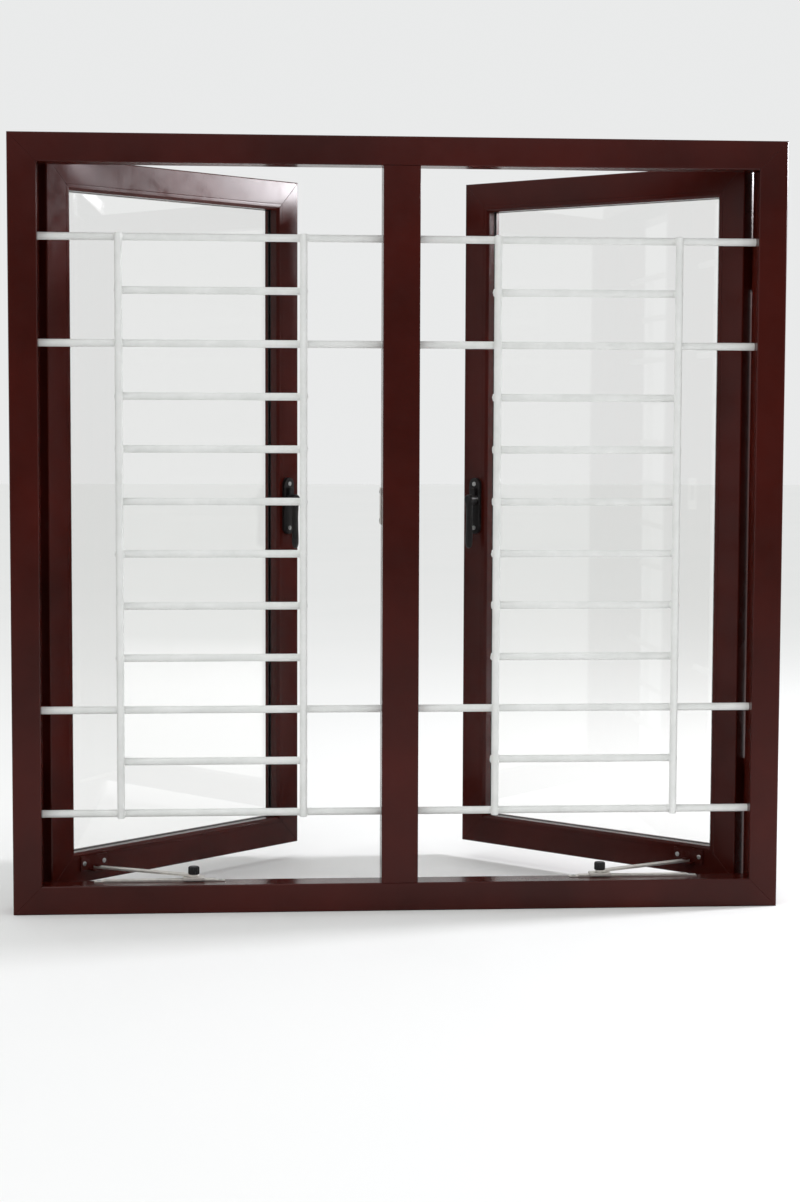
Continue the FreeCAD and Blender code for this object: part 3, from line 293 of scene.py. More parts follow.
def make_materials(looks):
    coat = looks.coat_light, looks.coat_dark
    return {
        "brown_coat": powder_coat("powder_coated_aluminium", *coat, looks.coat_roughness),
        "brown_hinge": powder_coat("powder_coated_hinge_steel", *coat, looks.coat_roughness + 0.06),
        "grille_paint": enamel_paint("white_enamel_on_steel", looks.grille_light, looks.grille_dark),
        "glass": float_glass("clear_float_glass"),
        "rubber": moulded_black("epdm_rubber", "111010", "0a0a0a", 0.7, 0.9, 0.03),
        "black_plastic": moulded_black("moulded_nylon", "222122", "171717", 0.4, 0.7, 0.015),
        "black_handle": moulded_black("satin_coated_zinc_casting", "161212", "0e0c0c", 0.34, 1.1, 0.02),
        "bright_steel": drawn_metal("rolled_stainless_steel", "e6e2dc", "cfccc7", 0.4, 1.6, (1, 12, 12)),
        "zinc_steel": drawn_metal("zinc_plated_steel", "c3c5c8", "a3a39b", 0.26, 0.8, (1, 1, 1)),
        "mill_aluminium": drawn_metal("mill_finish_aluminium", "c0c1c3", "a6a7a9", 0.36, 1.2, (10, 10, 1)),
    }


MATERIALS = {}


def finish_of(slot):
    if not MATERIALS:
        MATERIALS.update(make_materials(bpy.context.scene.window_looks))
    return MATERIALS[slot]


def coat_nodes(slot, *nodes):
    """Gives CAD nodes that stay as they are their material."""
    for node in nodes:
        data = frame["nodes"][node].data
        data.materials.clear()
        data.materials.append(finish_of(slot))


# ---- pieces ---------------------------------------------------------------------------------

def piece(name, mesh, body, slot, *nodes):
    """A finished piece: it rides on a body, stands for CAD nodes and takes a slot's finish."""
    thing = bpy.data.objects.new(name, mesh)
    bpy.context.scene.collection.objects.link(thing)
    mesh.name = name
    mesh.materials.clear()
    mesh.materials.append(finish_of(slot))
    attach(thing, body)
    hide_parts(*nodes)
    return thing


def evaluated(source, modifiers):
    """The mesh that a mesh becomes under modifiers: (type, settings) pairs."""
    thing = bpy.data.objects.new("workpiece", source)
    bpy.context.scene.collection.objects.link(thing)
    for kind, settings in modifiers:
        modifier = thing.modifiers.new(kind, kind)
        for field, value in settings.items():
            setattr(modifier, field, value)
    mesh = bpy.data.meshes.new_from_object(thing.evaluated_get(bpy.context.evaluated_depsgraph_get()))
    bpy.data.objects.remove(thing)
    bpy.data.meshes.remove(source)
    return mesh


def smooth_by_angle(mesh):
    mesh.shade_smooth()
    mesh.set_sharp_from_angle(angle=SMOOTH_ANGLE)


def eased(node, width, shortest, name, body, slot, group_of=None):
    """A CAD node's shape with its edges eased by a width in millimetres, as dies, files and coating leave
    them. Edges under the shortest length stay sharp."""
    work = merged(node, group_of)
    bmesh.ops.dissolve_limit(work, angle_limit=FLAT_ANGLE, verts=work.verts, edges=work.edges)
    weights = work.edges.layers.float.new("bevel_weight_edge")
    for edge in work.edges:
        sharp = len(edge.link_faces) == 2 and edge.calc_face_angle(0) > EDGE_ANGLE
        if sharp and edge.calc_length() >= shortest:
            edge[weights] = 1
    source = bpy.data.meshes.new("workpiece")
    work.to_mesh(source)
    work.free()
    settings = {"width": width*MM, "segments": 3, "limit_method": "WEIGHT", "use_clamp_overlap": True,
                "miter_outer": "MITER_ARC"}
    mesh = evaluated(source, [("BEVEL", settings), ("TRIANGULATE", {})])
    smooth_by_angle(mesh)
    mesh = evaluated(mesh, [("WEIGHTED_NORMAL", {"keep_sharp": True, "weight": 90})])
    return piece(name, mesh, body, slot, node)


# ---- geometry node trees --------------------------------------------------------------------

def start_tree(name, sizes):
    """A geometry node tree with a geometry input, named sizes and a material, and its inputs."""
    tree = bpy.data.node_groups.new(name, "GeometryNodeTree")
    tree.interface.new_socket("Geometry", in_out="INPUT", socket_type="NodeSocketGeometry")
    for label, kind in sizes:
        tree.interface.new_socket(label, in_out="INPUT", socket_type=f"NodeSocket{kind}")
    tree.interface.new_socket("Material", in_out="INPUT", socket_type="NodeSocketMaterial")
    tree.interface.new_socket("Geometry", in_out="OUTPUT", socket_type="NodeSocketGeometry")
    return tree, add(tree, "NodeGroupInput").outputs


def end_tree(tree, made, given):
    real = add(tree, "GeometryNodeRealizeInstances", {"Geometry": made})
    done = add(tree, "GeometryNodeSetMaterial", {"Geometry": real.outputs[0], "Material": given["Material"]})
    add(tree, "NodeGroupOutput", {"Geometry": done.outputs[0]})
    return tree


def attribute(tree, name, kind="FLOAT"):
    return add(tree, "GeometryNodeInputNamedAttribute", {"Name": name}, data_type=kind).outputs[0]


def math_node(tree, operation, *values):
    return add(tree, "ShaderNodeMath", dict(enumerate(values)), operation=operation).outputs[0]


def run_tree(tree, base, slot, place=None, **sizes):
    """What a tree makes of a base mesh, as a plain mesh; sizes are set by their sockets' identifiers."""
    thing = bpy.data.objects.new("workpiece", base)
    bpy.context.scene.collection.objects.link(thing)
    modifier = thing.modifiers.new("shape", "NODES")
    modifier.node_group = tree
    given = {label.replace("_", " ").title(): value for label, value in sizes.items()}
    given["Material"] = finish_of(slot)
    for socket in tree.interface.items_tree:
        if socket.item_type == "SOCKET" and socket.in_out == "INPUT" and socket.name in given:
            modifier[socket.identifier] = given[socket.name]
    mesh = bpy.data.meshes.new_from_object(thing.evaluated_get(bpy.context.evaluated_depsgraph_get()))
    bpy.data.objects.remove(thing)
    bpy.data.meshes.remove(base)
    if place is not None:
        mesh.transform(place)
    return mesh


def polylines(lines):
    """A base mesh of open runs; each point is (place, share of the full radius)."""
    points, edges, shares = [], [], []
    for line in lines:
        first = len(points)
        points += [spot for spot, _ in line]
        shares += [share for _, share in line]
        edges += [(i, i + 1) for i in range(first, len(points) - 1)]
    mesh = bpy.data.meshes.new("base")
    mesh.from_pydata(points, edges, [])
    layer = mesh.attributes.new("share", "FLOAT", "POINT")
    layer.data.foreach_set("value", shares)
    return mesh


def point_base(points, aims):
    """A base mesh of loose points, each with the way it faces."""
    mesh = bpy.data.meshes.new("base")
    mesh.from_pydata(points, [], [])
    layer = mesh.attributes.new("aim", "FLOAT_VECTOR", "POINT")
    layer.data.foreach_set("vector", [x for aim in aims for x in aim])
    return mesh


def turned_stock_tree():
    """Round or fluted stock along straight runs whose radius follows each point's share."""
    tree, given = start_tree("turned_stock", [("Radius", "Float"), ("Around", "Int"), ("Flutes", "Int"),
                                              ("Flute Depth", "Float")])
    runs = add(tree, "GeometryNodeMeshToCurve", {"Mesh": given["Geometry"]})
    ring = add(tree, "GeometryNodeCurvePrimitiveCircle", {"Resolution": given["Around"],
                                                          "Radius": given["Radius"]})
    spot = add(tree, "GeometryNodeInputPosition").outputs[0]
    axes = add(tree, "ShaderNodeSeparateXYZ", {0: spot})
    angle = math_node(tree, "ARCTAN2", axes.outputs[1], axes.outputs[0])
    wave = math_node(tree, "COSINE", math_node(tree, "MULTIPLY", angle, given["Flutes"]))
    dip = math_node(tree, "MULTIPLY", math_node(tree, "SUBTRACT", wave, 1.0), given["Flute Depth"])
    share = math_node(tree, "ADD", math_node(tree, "MULTIPLY", dip, 0.5), 1.0)
    moved = add(tree, "ShaderNodeVectorMath", {0: spot, "Scale": share}, operation="SCALE").outputs[0]
    outline = add(tree, "GeometryNodeSetPosition", {"Geometry": ring.outputs[0], "Position": moved})
    skin = add(tree, "GeometryNodeCurveToMesh", {
        "Curve": runs.outputs[0], "Profile Curve": outline.outputs[0], "Scale": attribute(tree, "share"),
        "Fill Caps": True})
    return end_tree(tree, skin.outputs[0], given)


def screw_tree():
    """Pan-head screws with a cross recess, one at each point, its head facing the point's aim."""
    tree, given = start_tree("pan_head_screws", [
        ("Head Radius", "Float"), ("Head Height", "Float"), ("Shank Radius", "Float"),
        ("Shank Length", "Float"), ("Recess Width", "Float"), ("Seed", "Int")])
    down = math_node(tree, "MULTIPLY", given["Head Height"], -1.0)
    under = add(tree, "ShaderNodeCombineXYZ", {"Z": down}).outputs[0]
    line = add(tree, "GeometryNodeCurvePrimitiveLine", {"Start": under, "End": (0, 0, 0)})
    steps = add(tree, "GeometryNodeResampleCurve", {"Curve": line.outputs[0], "Count": 9})
    along = add(tree, "GeometryNodeSplineParameter").outputs["Factor"]
    squeeze = math_node(tree, "SUBTRACT", 1.0, math_node(tree, "POWER", along, 2.6))
    share = math_node(tree, "POWER", math_node(tree, "MAXIMUM", squeeze, 0.12), 0.5)
    ring = add(tree, "GeometryNodeCurvePrimitiveCircle", {"Resolution": 24, "Radius": given["Head Radius"]})
    head = add(tree, "GeometryNodeCurveToMesh", {
        "Curve": steps.outputs[0], "Profile Curve": ring.outputs[0], "Scale": share, "Fill Caps": True})
    wide, reach = given["Recess Width"], math_node(tree, "MULTIPLY", given["Head Radius"], 1.1)
    deep = math_node(tree, "MULTIPLY", given["Head Height"], 1.3)
    recess = []
    for size in ((wide, reach), (reach, wide)):
        span = add(tree, "ShaderNodeCombineXYZ", {"X": size[0], "Y": size[1], "Z": deep}).outputs[0]
        recess.append(add(tree, "GeometryNodeMeshCube", {"Size": span}).outputs[0])
    cut = add(tree, "GeometryNodeMeshBoolean", {"Mesh 1": head.outputs[0], "Self Intersection": True},
              operation="DIFFERENCE", solver="EXACT")
    for tool in recess:
        tree.links.new(tool, cut.inputs["Mesh 2"])
    shank = add(tree, "GeometryNodeMeshCylinder", {"Vertices": 12, "Radius": given["Shank Radius"],
                                                   "Depth": given["Shank Length"]})
    half = math_node(tree, "MULTIPLY", given["Shank Length"], -0.5)
    low = add(tree, "ShaderNodeCombineXYZ", {"Z": math_node(tree, "ADD", half, down)}).outputs[0]
    set_down = add(tree, "GeometryNodeTransform", {"Geometry": shank.outputs[0], "Translation": low})
    whole = add(tree, "GeometryNodeJoinGeometry")
    tree.links.new(set_down.outputs[0], whole.inputs[0])
    tree.links.new(cut.outputs[0], whole.inputs[0])
    aim = attribute(tree, "aim", "FLOAT_VECTOR")
    faced = add(tree, "FunctionNodeAlignRotationToVector", {"Vector": aim}, axis="Z").outputs[0]
    roll = add(tree, "FunctionNodeRandomValue", {"Min": 0.0, "Max": math.pi, "Seed": given["Seed"]},
               data_type="FLOAT")
    chosen = [s for s in roll.outputs if s.type == "VALUE" and s.enabled][0]
    spin = add(tree, "FunctionNodeAxisAngleToRotation", {"Axis": (0, 0, 1), "Angle": chosen}).outputs[0]
    stood = add(tree, "FunctionNodeRotateRotation", {"Rotation": faced, "Rotate By": spin},
                rotation_space="LOCAL").outputs[0]
    placed = add(tree, "GeometryNodeInstanceOnPoints", {"Points": given["Geometry"],
                                                        "Instance": whole.outputs[0], "Rotation": stood})
    return end_tree(tree, placed.outputs[0], given)


def weld_tree():
    """Lumpy painted weld beads, one at each point."""
    tree, given = start_tree("weld_beads", [("Radius", "Float"), ("Lumps", "Float"), ("Lump Height", "Float"),
                                            ("Seed", "Int")])
    ball = add(tree, "GeometryNodeMeshIcoSphere", {"Radius": given["Radius"], "Subdivisions": 4})
    roll = add(tree, "FunctionNodeRandomValue", {"Min": (0.86, 0.8, 0.86), "Max": (1.06, 0.95, 1.06),
                                                 "Seed": given["Seed"]}, data_type="FLOAT_VECTOR")
    chosen = [s for s in roll.outputs if s.type == "VECTOR" and s.enabled][0]
    placed = add(tree, "GeometryNodeInstanceOnPoints", {"Points": given["Geometry"],
                                                        "Instance": ball.outputs[0], "Scale": chosen})
    real = add(tree, "GeometryNodeRealizeInstances", {"Geometry": placed.outputs[0]})
    rough = add(tree, "ShaderNodeTexNoise", {"Scale": given["Lumps"], "Detail": 1.0}).outputs[0]
    lift = math_node(tree, "MULTIPLY", math_node(tree, "SUBTRACT", rough, 0.5), given["Lump Height"])
    normal = add(tree, "GeometryNodeInputNormal").outputs[0]
    push = add(tree, "ShaderNodeVectorMath", {0: normal, "Scale": lift}, operation="SCALE").outputs[0]
    lumpy = add(tree, "GeometryNodeSetPosition", {"Geometry": real.outputs[0], "Offset": push})
    return end_tree(tree, lumpy.outputs[0], given)


def seal_tree():
    """A rubber section run round a closed path: a flat foot with two round ribs on it."""
    tree, given = start_tree("ribbed_seal", [("Foot Width", "Float"), ("Foot Thickness", "Float"),
                                             ("Rib Radius", "Float"), ("Rib Spacing", "Float"),
                                             ("Corner Radius", "Float")])
    path = add(tree, "GeometryNodeMeshToCurve", {"Mesh": given["Geometry"]})
    rounded = add(tree, "GeometryNodeFilletCurve", {
        "Curve": path.outputs[0], "Radius": given["Corner Radius"], "Count": 5}, mode="POLY")
    upright = add(tree, "GeometryNodeSetCurveNormal", {"Curve": rounded.outputs[0]})
    foot = add(tree, "GeometryNodeCurvePrimitiveQuadrilateral", {"Width": given["Foot Width"],
                                                                 "Height": given["Foot Thickness"]})
    lift = math_node(tree, "MULTIPLY", given["Foot Thickness"], 0.5)
    lifted = add(tree, "ShaderNodeCombineXYZ", {"Y": lift}).outputs[0]
    outline = add(tree, "GeometryNodeJoinGeometry")
    raised = add(tree, "GeometryNodeTransform", {"Geometry": foot.outputs[0], "Translation": lifted})
    tree.links.new(raised.outputs[0], outline.inputs[0])
    height = math_node(tree, "ADD", given["Foot Thickness"], given["Rib Radius"])
    for way in (-0.5, 0.5):
        ring = add(tree, "GeometryNodeCurvePrimitiveCircle", {"Resolution": 12,
                                                              "Radius": given["Rib Radius"]})
        aside = math_node(tree, "MULTIPLY", given["Rib Spacing"], way)
        spot = add(tree, "ShaderNodeCombineXYZ", {"X": aside, "Y": height}).outputs[0]
        rib = add(tree, "GeometryNodeTransform", {"Geometry": ring.outputs[0], "Translation": spot})
        tree.links.new(rib.outputs[0], outline.inputs[0])
    skin = add(tree, "GeometryNodeCurveToMesh", {"Curve": upright.outputs[0],
                                                 "Profile Curve": outline.outputs[0]})
    return end_tree(tree, skin.outputs[0], given)


TREES = {}


def tree_of(maker):
    if maker not in TREES:
        TREES[maker] = maker()
    return TREES[maker]


# ---- settings -------------------------------------------------------------------------------

class WindowLooks(bpy.types.PropertyGroup):
    """Colours and finishing sizes of the window."""
    coat_light: bpy.props.StringProperty(name="Coat, lighter", description="sRGB hex of the brown coat",
                                         default="46120b")
    coat_dark: bpy.props.StringProperty(name="Coat, darker", description="sRGB hex where the coat is deeper",
                                        default="350c06")
    coat_roughness: bpy.props.FloatProperty(name="Coat roughness", description="lower is glossier",
                                            default=0.17, min=0.05, max=0.6)
    grille_light: bpy.props.StringProperty(name="Grille, lighter", description="sRGB hex of the enamel",
                                           default="f6f7f5")
    grille_dark: bpy.props.StringProperty(name="Grille, darker", description="sRGB hex of its marks",
                                          default="e6e8e5")
    profile_easing: bpy.props.FloatProperty(name="Section edges", description="rounding of section edges, mm",
                                            default=0.5, min=0.1, max=1.2)
    hardware_easing: bpy.props.FloatProperty(name="Hardware edges", description="rounding of hardware, mm",
                                             default=0.35, min=0.05, max=0.8)
    weld_radius: bpy.props.FloatProperty(name="Weld bead", description="radius of the grille's welds",
                                         default=7.6*MM, unit="LENGTH")
    knob_flutes: bpy.props.IntProperty(name="Knob flutes", description="grooves round a clamping knob",
                                       default=14, min=6, max=40)


class WindowStage(bpy.types.PropertyGroup):
    """Camera, floor and light."""
    eye: bpy.props.FloatVectorProperty(name="Camera place", description="from the origin of the window",
                                       default=(-0.289, -3.722, 0.793), unit="LENGTH")
    turn: bpy.props.FloatVectorProperty(name="Camera turn", description="pitch, roll and yaw from level +Y",
                                        default=(-0.0804, -0.0038, -0.0780), subtype="EULER")
    lens: bpy.props.FloatProperty(name="Lens", description="focal length in mm", default=70.3)
    backdrop: bpy.props.FloatProperty(name="Backdrop light", description="brightness behind the window",
                                      default=0.85)
    room: bpy.props.FloatProperty(name="Room light", description="brightness behind the camera", default=0.2)


# ---- operators ------------------------------------------------------------------------------

class WINDOW_OT_members(bpy.types.Operator):
    """Outer frame sections and mullion with eased edges"""
    bl_idname = "window.members"
    bl_label = "Frame members"

    def execute(self, context):
        easing = context.scene.window_looks.profile_easing
        for part in ("head", "sill", "jamb_left", "jamb_right", "mullion"):
            eased(f"frame_{part}", easing, SECTION_SHORTEST, f"{part}_section", "frame", "brown_coat")
        return {"FINISHED"}


class WINDOW_OT_sashes(bpy.types.Operator):
    """Sash rails, stiles and glazing beads with eased edges"""
    bl_idname = "window.sashes"
    bl_label = "Sashes"

    def execute(self, context):
        easing = context.scene.window_looks.profile_easing
        for side in SIDES:
            for part in RAILS_AND_STILES:
                node = f"sash_{side}_{part}"
                eased(node, easing, SECTION_SHORTEST, f"{side}_{part}_section", f"sash_{side}", "brown_coat")
            eased(f"sash_{side}_glazing_beads", easing, SECTION_SHORTEST, f"{side}_glazing_bead_sections",
                  f"sash_{side}", "brown_coat", bead_side(side))
        return {"FINISHED"}


class WINDOW_OT_glazing(bpy.types.Operator):
    """Glass, setting blocks and the rubber lips that hold the glass"""
    bl_idname = "window.glazing"
    bl_label = "Glazing"

    def execute(self, context):
        for side in SIDES:
            coat_nodes("glass", f"sash_{side}_glass")
            coat_nodes("black_plastic", f"sash_{side}_setting_blocks")
            coat_nodes("rubber", f"sash_{side}_glazing_gaskets")
        return {"FINISHED"}


class WINDOW_OT_seals(bpy.types.Operator):
    """Ribbed compression seals round both openings"""
    bl_idname = "window.seals"
    bl_label = "Seals"

    def execute(self, context):
        for side in SIDES:
            low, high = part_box(f"seal_{side}")
            deep = high.y - low.y
            wide = ring_width(f"seal_{side}")
            half = wide/2
            foot = deep*0.4
            base = loop_base((high.x - low.x)/2 - half, (high.z - low.z)/2 - half)
            middle = (low + high)/2
            upright = Matrix.Rotation(math.radians(-90), 4, "X")
            stand = Matrix.Translation((middle.x, low.y, middle.z)) @ upright
            mesh = run_tree(tree_of(seal_tree), base, "rubber", stand, foot_width=wide, foot_thickness=foot,
                            rib_radius=(deep - foot)/2, rib_spacing=wide*0.5, corner_radius=wide*0.6)
            smooth_by_angle(mesh)
            piece(f"{side}_ribbed_seal", mesh, "frame", "rubber", f"seal_{side}")
        return {"FINISHED"}


class WINDOW_OT_grille(bpy.types.Operator):
    """Welded security grille: round bars with broken ends and painted weld beads at the crossings"""
    bl_idname = "window.grille"
    bl_label = "Grille"

    def execute(self, context):
        looks = context.scene.window_looks
        bars = {}
        for kind in ("long_bars", "short_bars", "uprights"):
            bars[kind] = [extent(points) for points in solids(f"grille_{kind}")]
            along = 2 if kind == "uprights" else 0
            radius = (bars[kind][0][1].y - bars[kind][0][0].y)/2
            lines = [stock_line(low, high, along) for low, high in bars[kind]]
            mesh = run_tree(tree_of(turned_stock_tree), polylines(lines), "grille_paint", radius=radius,
                            around=28, flutes=0, flute_depth=0.0)
            smooth_by_angle(mesh)
            piece(f"{kind}_round_stock", mesh, "frame", "grille_paint", f"grille_{kind}")
        crossings = []
        for up_low, up_high in bars["uprights"]:
            x = (up_low.x + up_high.x)/2
            for low, high in bars["long_bars"] + bars["short_bars"]:
                if low.x - MM < x < high.x + MM:
                    crossings.append(((x, (up_high.y + low.y)/2, (low.z + high.z)/2)))
        beads = run_tree(tree_of(weld_tree), point_base(crossings, [(0, -1, 0)]*len(crossings)),
                         "grille_paint", radius=looks.weld_radius, lumps=per_mm(4), lump_height=1.6*MM,
                         seed=4)
        beads.shade_smooth()
        piece("grille_weld_beads", beads, "frame", "grille_paint")
        return {"FINISHED"}


class WINDOW_OT_hinges(bpy.types.Operator):
    """Hinge leaves with eased edges, and turned pins with domed heads"""
    bl_idname = "window.hinges"
    bl_label = "Hinges"

    def execute(self, context):
        easing = context.scene.window_looks.hardware_easing
        eased("hinge_frame_leaves", easing, HARDWARE_SHORTEST, "frame_hinge_leaves", "frame", "brown_hinge")
        for side in SIDES:
            eased(f"sash_{side}_hinge_leaves", easing, HARDWARE_SHORTEST, f"{side}_sash_hinge_leaves",
                  f"sash_{side}", "brown_hinge")
        lines = []
        for points in solids("hinge_pins"):
            low, high = extent(points)
            x, y = (low.x + high.x)/2, (low.y + high.y)/2
            head = (high.x - low.x)/2
            shaft = min(math.hypot(p.x - x, p.y - y) for p in points if math.hypot(p.x - x, p.y - y) > MM)
            tall = PIN_HEAD_HEIGHT
            slim = shaft/head
            # (distance from the pin's end, share of the head's radius)
            end = [(0, 0.35), (0.25*tall, 0.8), (0.6*tall, 1), (tall, 1), (tall + PIN_SHOULDER, slim)]
            lines.append([((x, y, low.z + rise), share) for rise, share in end]
                         + [((x, y, high.z - rise), share) for rise, share in end[::-1]])
        mesh = run_tree(tree_of(turned_stock_tree), polylines(lines), "zinc_steel", radius=head, around=24,
                        flutes=0, flute_depth=0.0)
        smooth_by_angle(mesh)
        piece("turned_hinge_pins", mesh, "frame", "zinc_steel", "hinge_pins")
        return {"FINISHED"}


class WINDOW_OT_screws(bpy.types.Operator):
    """Every visible screw, with its cross recess"""
    bl_idname = "window.screws"
    bl_label = "Screws"

    def execute(self, context):
        sets = [("hinge_frame_screws", "frame", None), ("keep_and_rail_screws", "frame", None),
                ("mullion_screws", "frame", None)]
        for side in SIDES:
            body = f"sash_{side}"
            turn = opened(side)
            sets += [(f"sash_{side}_hinge_screws", body, turn), (f"handle_{side}_screws", body, turn),
                     (f"stay_{side}_bracket_screws", body, turn)]
        for number, (node, body, turn) in enumerate(sets):
            tops, aims = [], []
            for points in solids(node, turn):
                top, aim, sizes = screw_seat(points)
                tops.append((turn or Matrix()) @ top)
                aims.append((turn or Matrix()).to_3x3() @ aim)
            mesh = run_tree(tree_of(screw_tree), point_base(tops, aims), "zinc_steel", **sizes,
                            recess_width=0.22*sizes["head_radius"], seed=number)
            smooth_by_angle(mesh)
            piece(f"{node}_pan_head", mesh, body, "zinc_steel", node)
        return {"FINISHED"}


class WINDOW_OT_handles(bpy.types.Operator):
    """Cast lever handles: base plates with soft edges and levers with a waisted grip"""
    bl_idname = "window.handles"
    bl_label = "Handles"

    def execute(self, context):
        for side in SIDES:
            turn = opened(side)
            eased(f"handle_{side}_base", PLATE_EASING, PLATE_SHORTEST, f"{side}_handle_base_plate",
                  f"sash_{side}", "black_handle")
            mesh = cast_lever(side, turn)
            piece(f"{side}_cast_lever", mesh, f"lever_{side}", "black_handle", f"handle_{side}_lever")
            coat_nodes("zinc_steel", f"handle_{side}_spindle")
        eased("keeps", KEEP_EASING, HARDWARE_SHORTEST, "slotted_keep_plates", "frame", "bright_steel")
        return {"FINISHED"}


class WINDOW_OT_stays(bpy.types.Operator):
    """Friction stays: rail, slider, arm, bracket and fluted clamping knob"""
    bl_idname = "window.stays"
    bl_label = "Stays"

    def execute(self, context):
        looks = context.scene.window_looks
        easing = looks.hardware_easing
        eased("stay_rails", easing, HARDWARE_SHORTEST, "rolled_stay_rails", "frame", "bright_steel")
        for side in SIDES:
            for part, body, slot in (("bracket", "sash", "brown_hinge"), ("arm", "arm", "bright_steel"),
                                     ("slider", "slider", "bright_steel")):
                eased(f"stay_{side}_{part}", easing, HARDWARE_SHORTEST, f"{side}_stay_{part}_eased",
                      f"{body}_{side}", slot)
            low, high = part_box(f"stay_{side}_knob")
            x, y = (low.x + high.x)/2, (low.y + high.y)/2
            tall = high.z - low.z
            # (share of the height, share of the radius), from the rim underneath to the dished top
            profile = [(0, 0.5), (0, 0.86), (0.04, 0.95), (0.1, 1), (0.8, 1), (0.9, 0.95), (0.97, 0.82),
                       (0.99, 0.62), (0.96, 0.4), (0.955, 0.05)]
            line = [((x, y, low.z + share*tall), wide) for share, wide in profile]
            mesh = run_tree(tree_of(turned_stock_tree), polylines([line]), "black_plastic",
                            radius=(high.x - low.x)/2, around=looks.knob_flutes*8, flutes=looks.knob_flutes,
                            flute_depth=0.13)
            smooth_by_angle(mesh)
            piece(f"{side}_fluted_knob", mesh, f"knob_{side}", "black_plastic", f"stay_{side}_knob")
        return {"FINISHED"}


class WINDOW_OT_inner_fittings(bpy.types.Operator):
    """Fittings inside the sections and the drain caps"""
    bl_idname = "window.inner_fittings"
    bl_label = "Inner fittings"

    def execute(self, context):
        coat_nodes("mill_aluminium", "frame_corner_cleats", "mullion_spigots",
                   *(f"sash_{side}_corner_cleats" for side in SIDES))
        eased("drain_caps", CAP_EASING, HARDWARE_SHORTEST, "moulded_drain_caps", "frame", "black_plastic")
        return {"FINISHED"}


class WINDOW_OT_stage(bpy.types.Operator):
    """Pale floor, soft studio light and the camera"""
    bl_idname = "window.stage"
    bl_label = "Stage"

    def execute(self, context):
        stage = context.scene.window_stage
        make_camera(stage)
        make_floor()
        make_world(stage)
        make_lights()
        return {"FINISHED"}


# ---- shapes used by the operators -----------------------------------------------------------

def ring_width(node):
    """How wide the flat ring of a seal is."""
    low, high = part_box(node)
    inside = [p.x for points in solids(node) for p in points if low.x + 2*MM < p.x < (low.x + high.x)/2]
    return min(inside) - low.x


def loop_base(half_x, half_y):
    """A closed rectangular path about the origin."""
    mesh = bpy.data.meshes.new("base")
    corners = [(-half_x, -half_y, 0), (half_x, -half_y, 0), (half_x, half_y, 0), (-half_x, half_y, 0)]
    mesh.from_pydata(corners, [(0, 1), (1, 2), (2, 3), (3, 0)], [])
    return mesh


def stock_line(low, high, along):
    """The run of a bar between its ends, with both ends broken."""
    middle = (low + high)/2
    steps = ((0, BAR_END_SHARE), (0.45, (1 + 2*BAR_END_SHARE)/3 + 0.06), (1, 1))
    line = []
    for end, way in ((low[along], 1), (high[along], -1)):
        part = []
        for step, wide in steps:
            spot = middle.copy()
            spot[along] = end + way*step*BAR_END_BEVEL
            part.append((spot, wide))
        line += part if way > 0 else part[::-1]
    return line


def screw_seat(points):
    """Where a screw's head tops out, the way it faces, and its sizes."""
    low, high = extent(points)
    span = high - low
    along = max(range(3), key=lambda i: span[i])
    middle = (low + high)/2
    others = [i for i in range(3) if i != along]

    def off_axis(p):
        return math.hypot(*(p[i] - middle[i] for i in others))

    head = max(off_axis(p) for p in points)
    rim = [p[along] for p in points if off_axis(p) > 0.9*head]
    shank = [off_axis(p) for p in points if 0.3*head < off_axis(p) < 0.8*head]
    way = 1 if sum(rim)/len(rim) > middle[along] else -1
    top = middle.copy()
    top[along] = high[along] if way > 0 else low[along]
    aim = Vector((0, 0, 0))
    aim[along] = way
    tall = max(rim) - min(rim)
    return top, aim, {"head_radius": head, "head_height": tall, "shank_radius": sum(shank)/len(shank),
                      "shank_length": span[along] - tall}


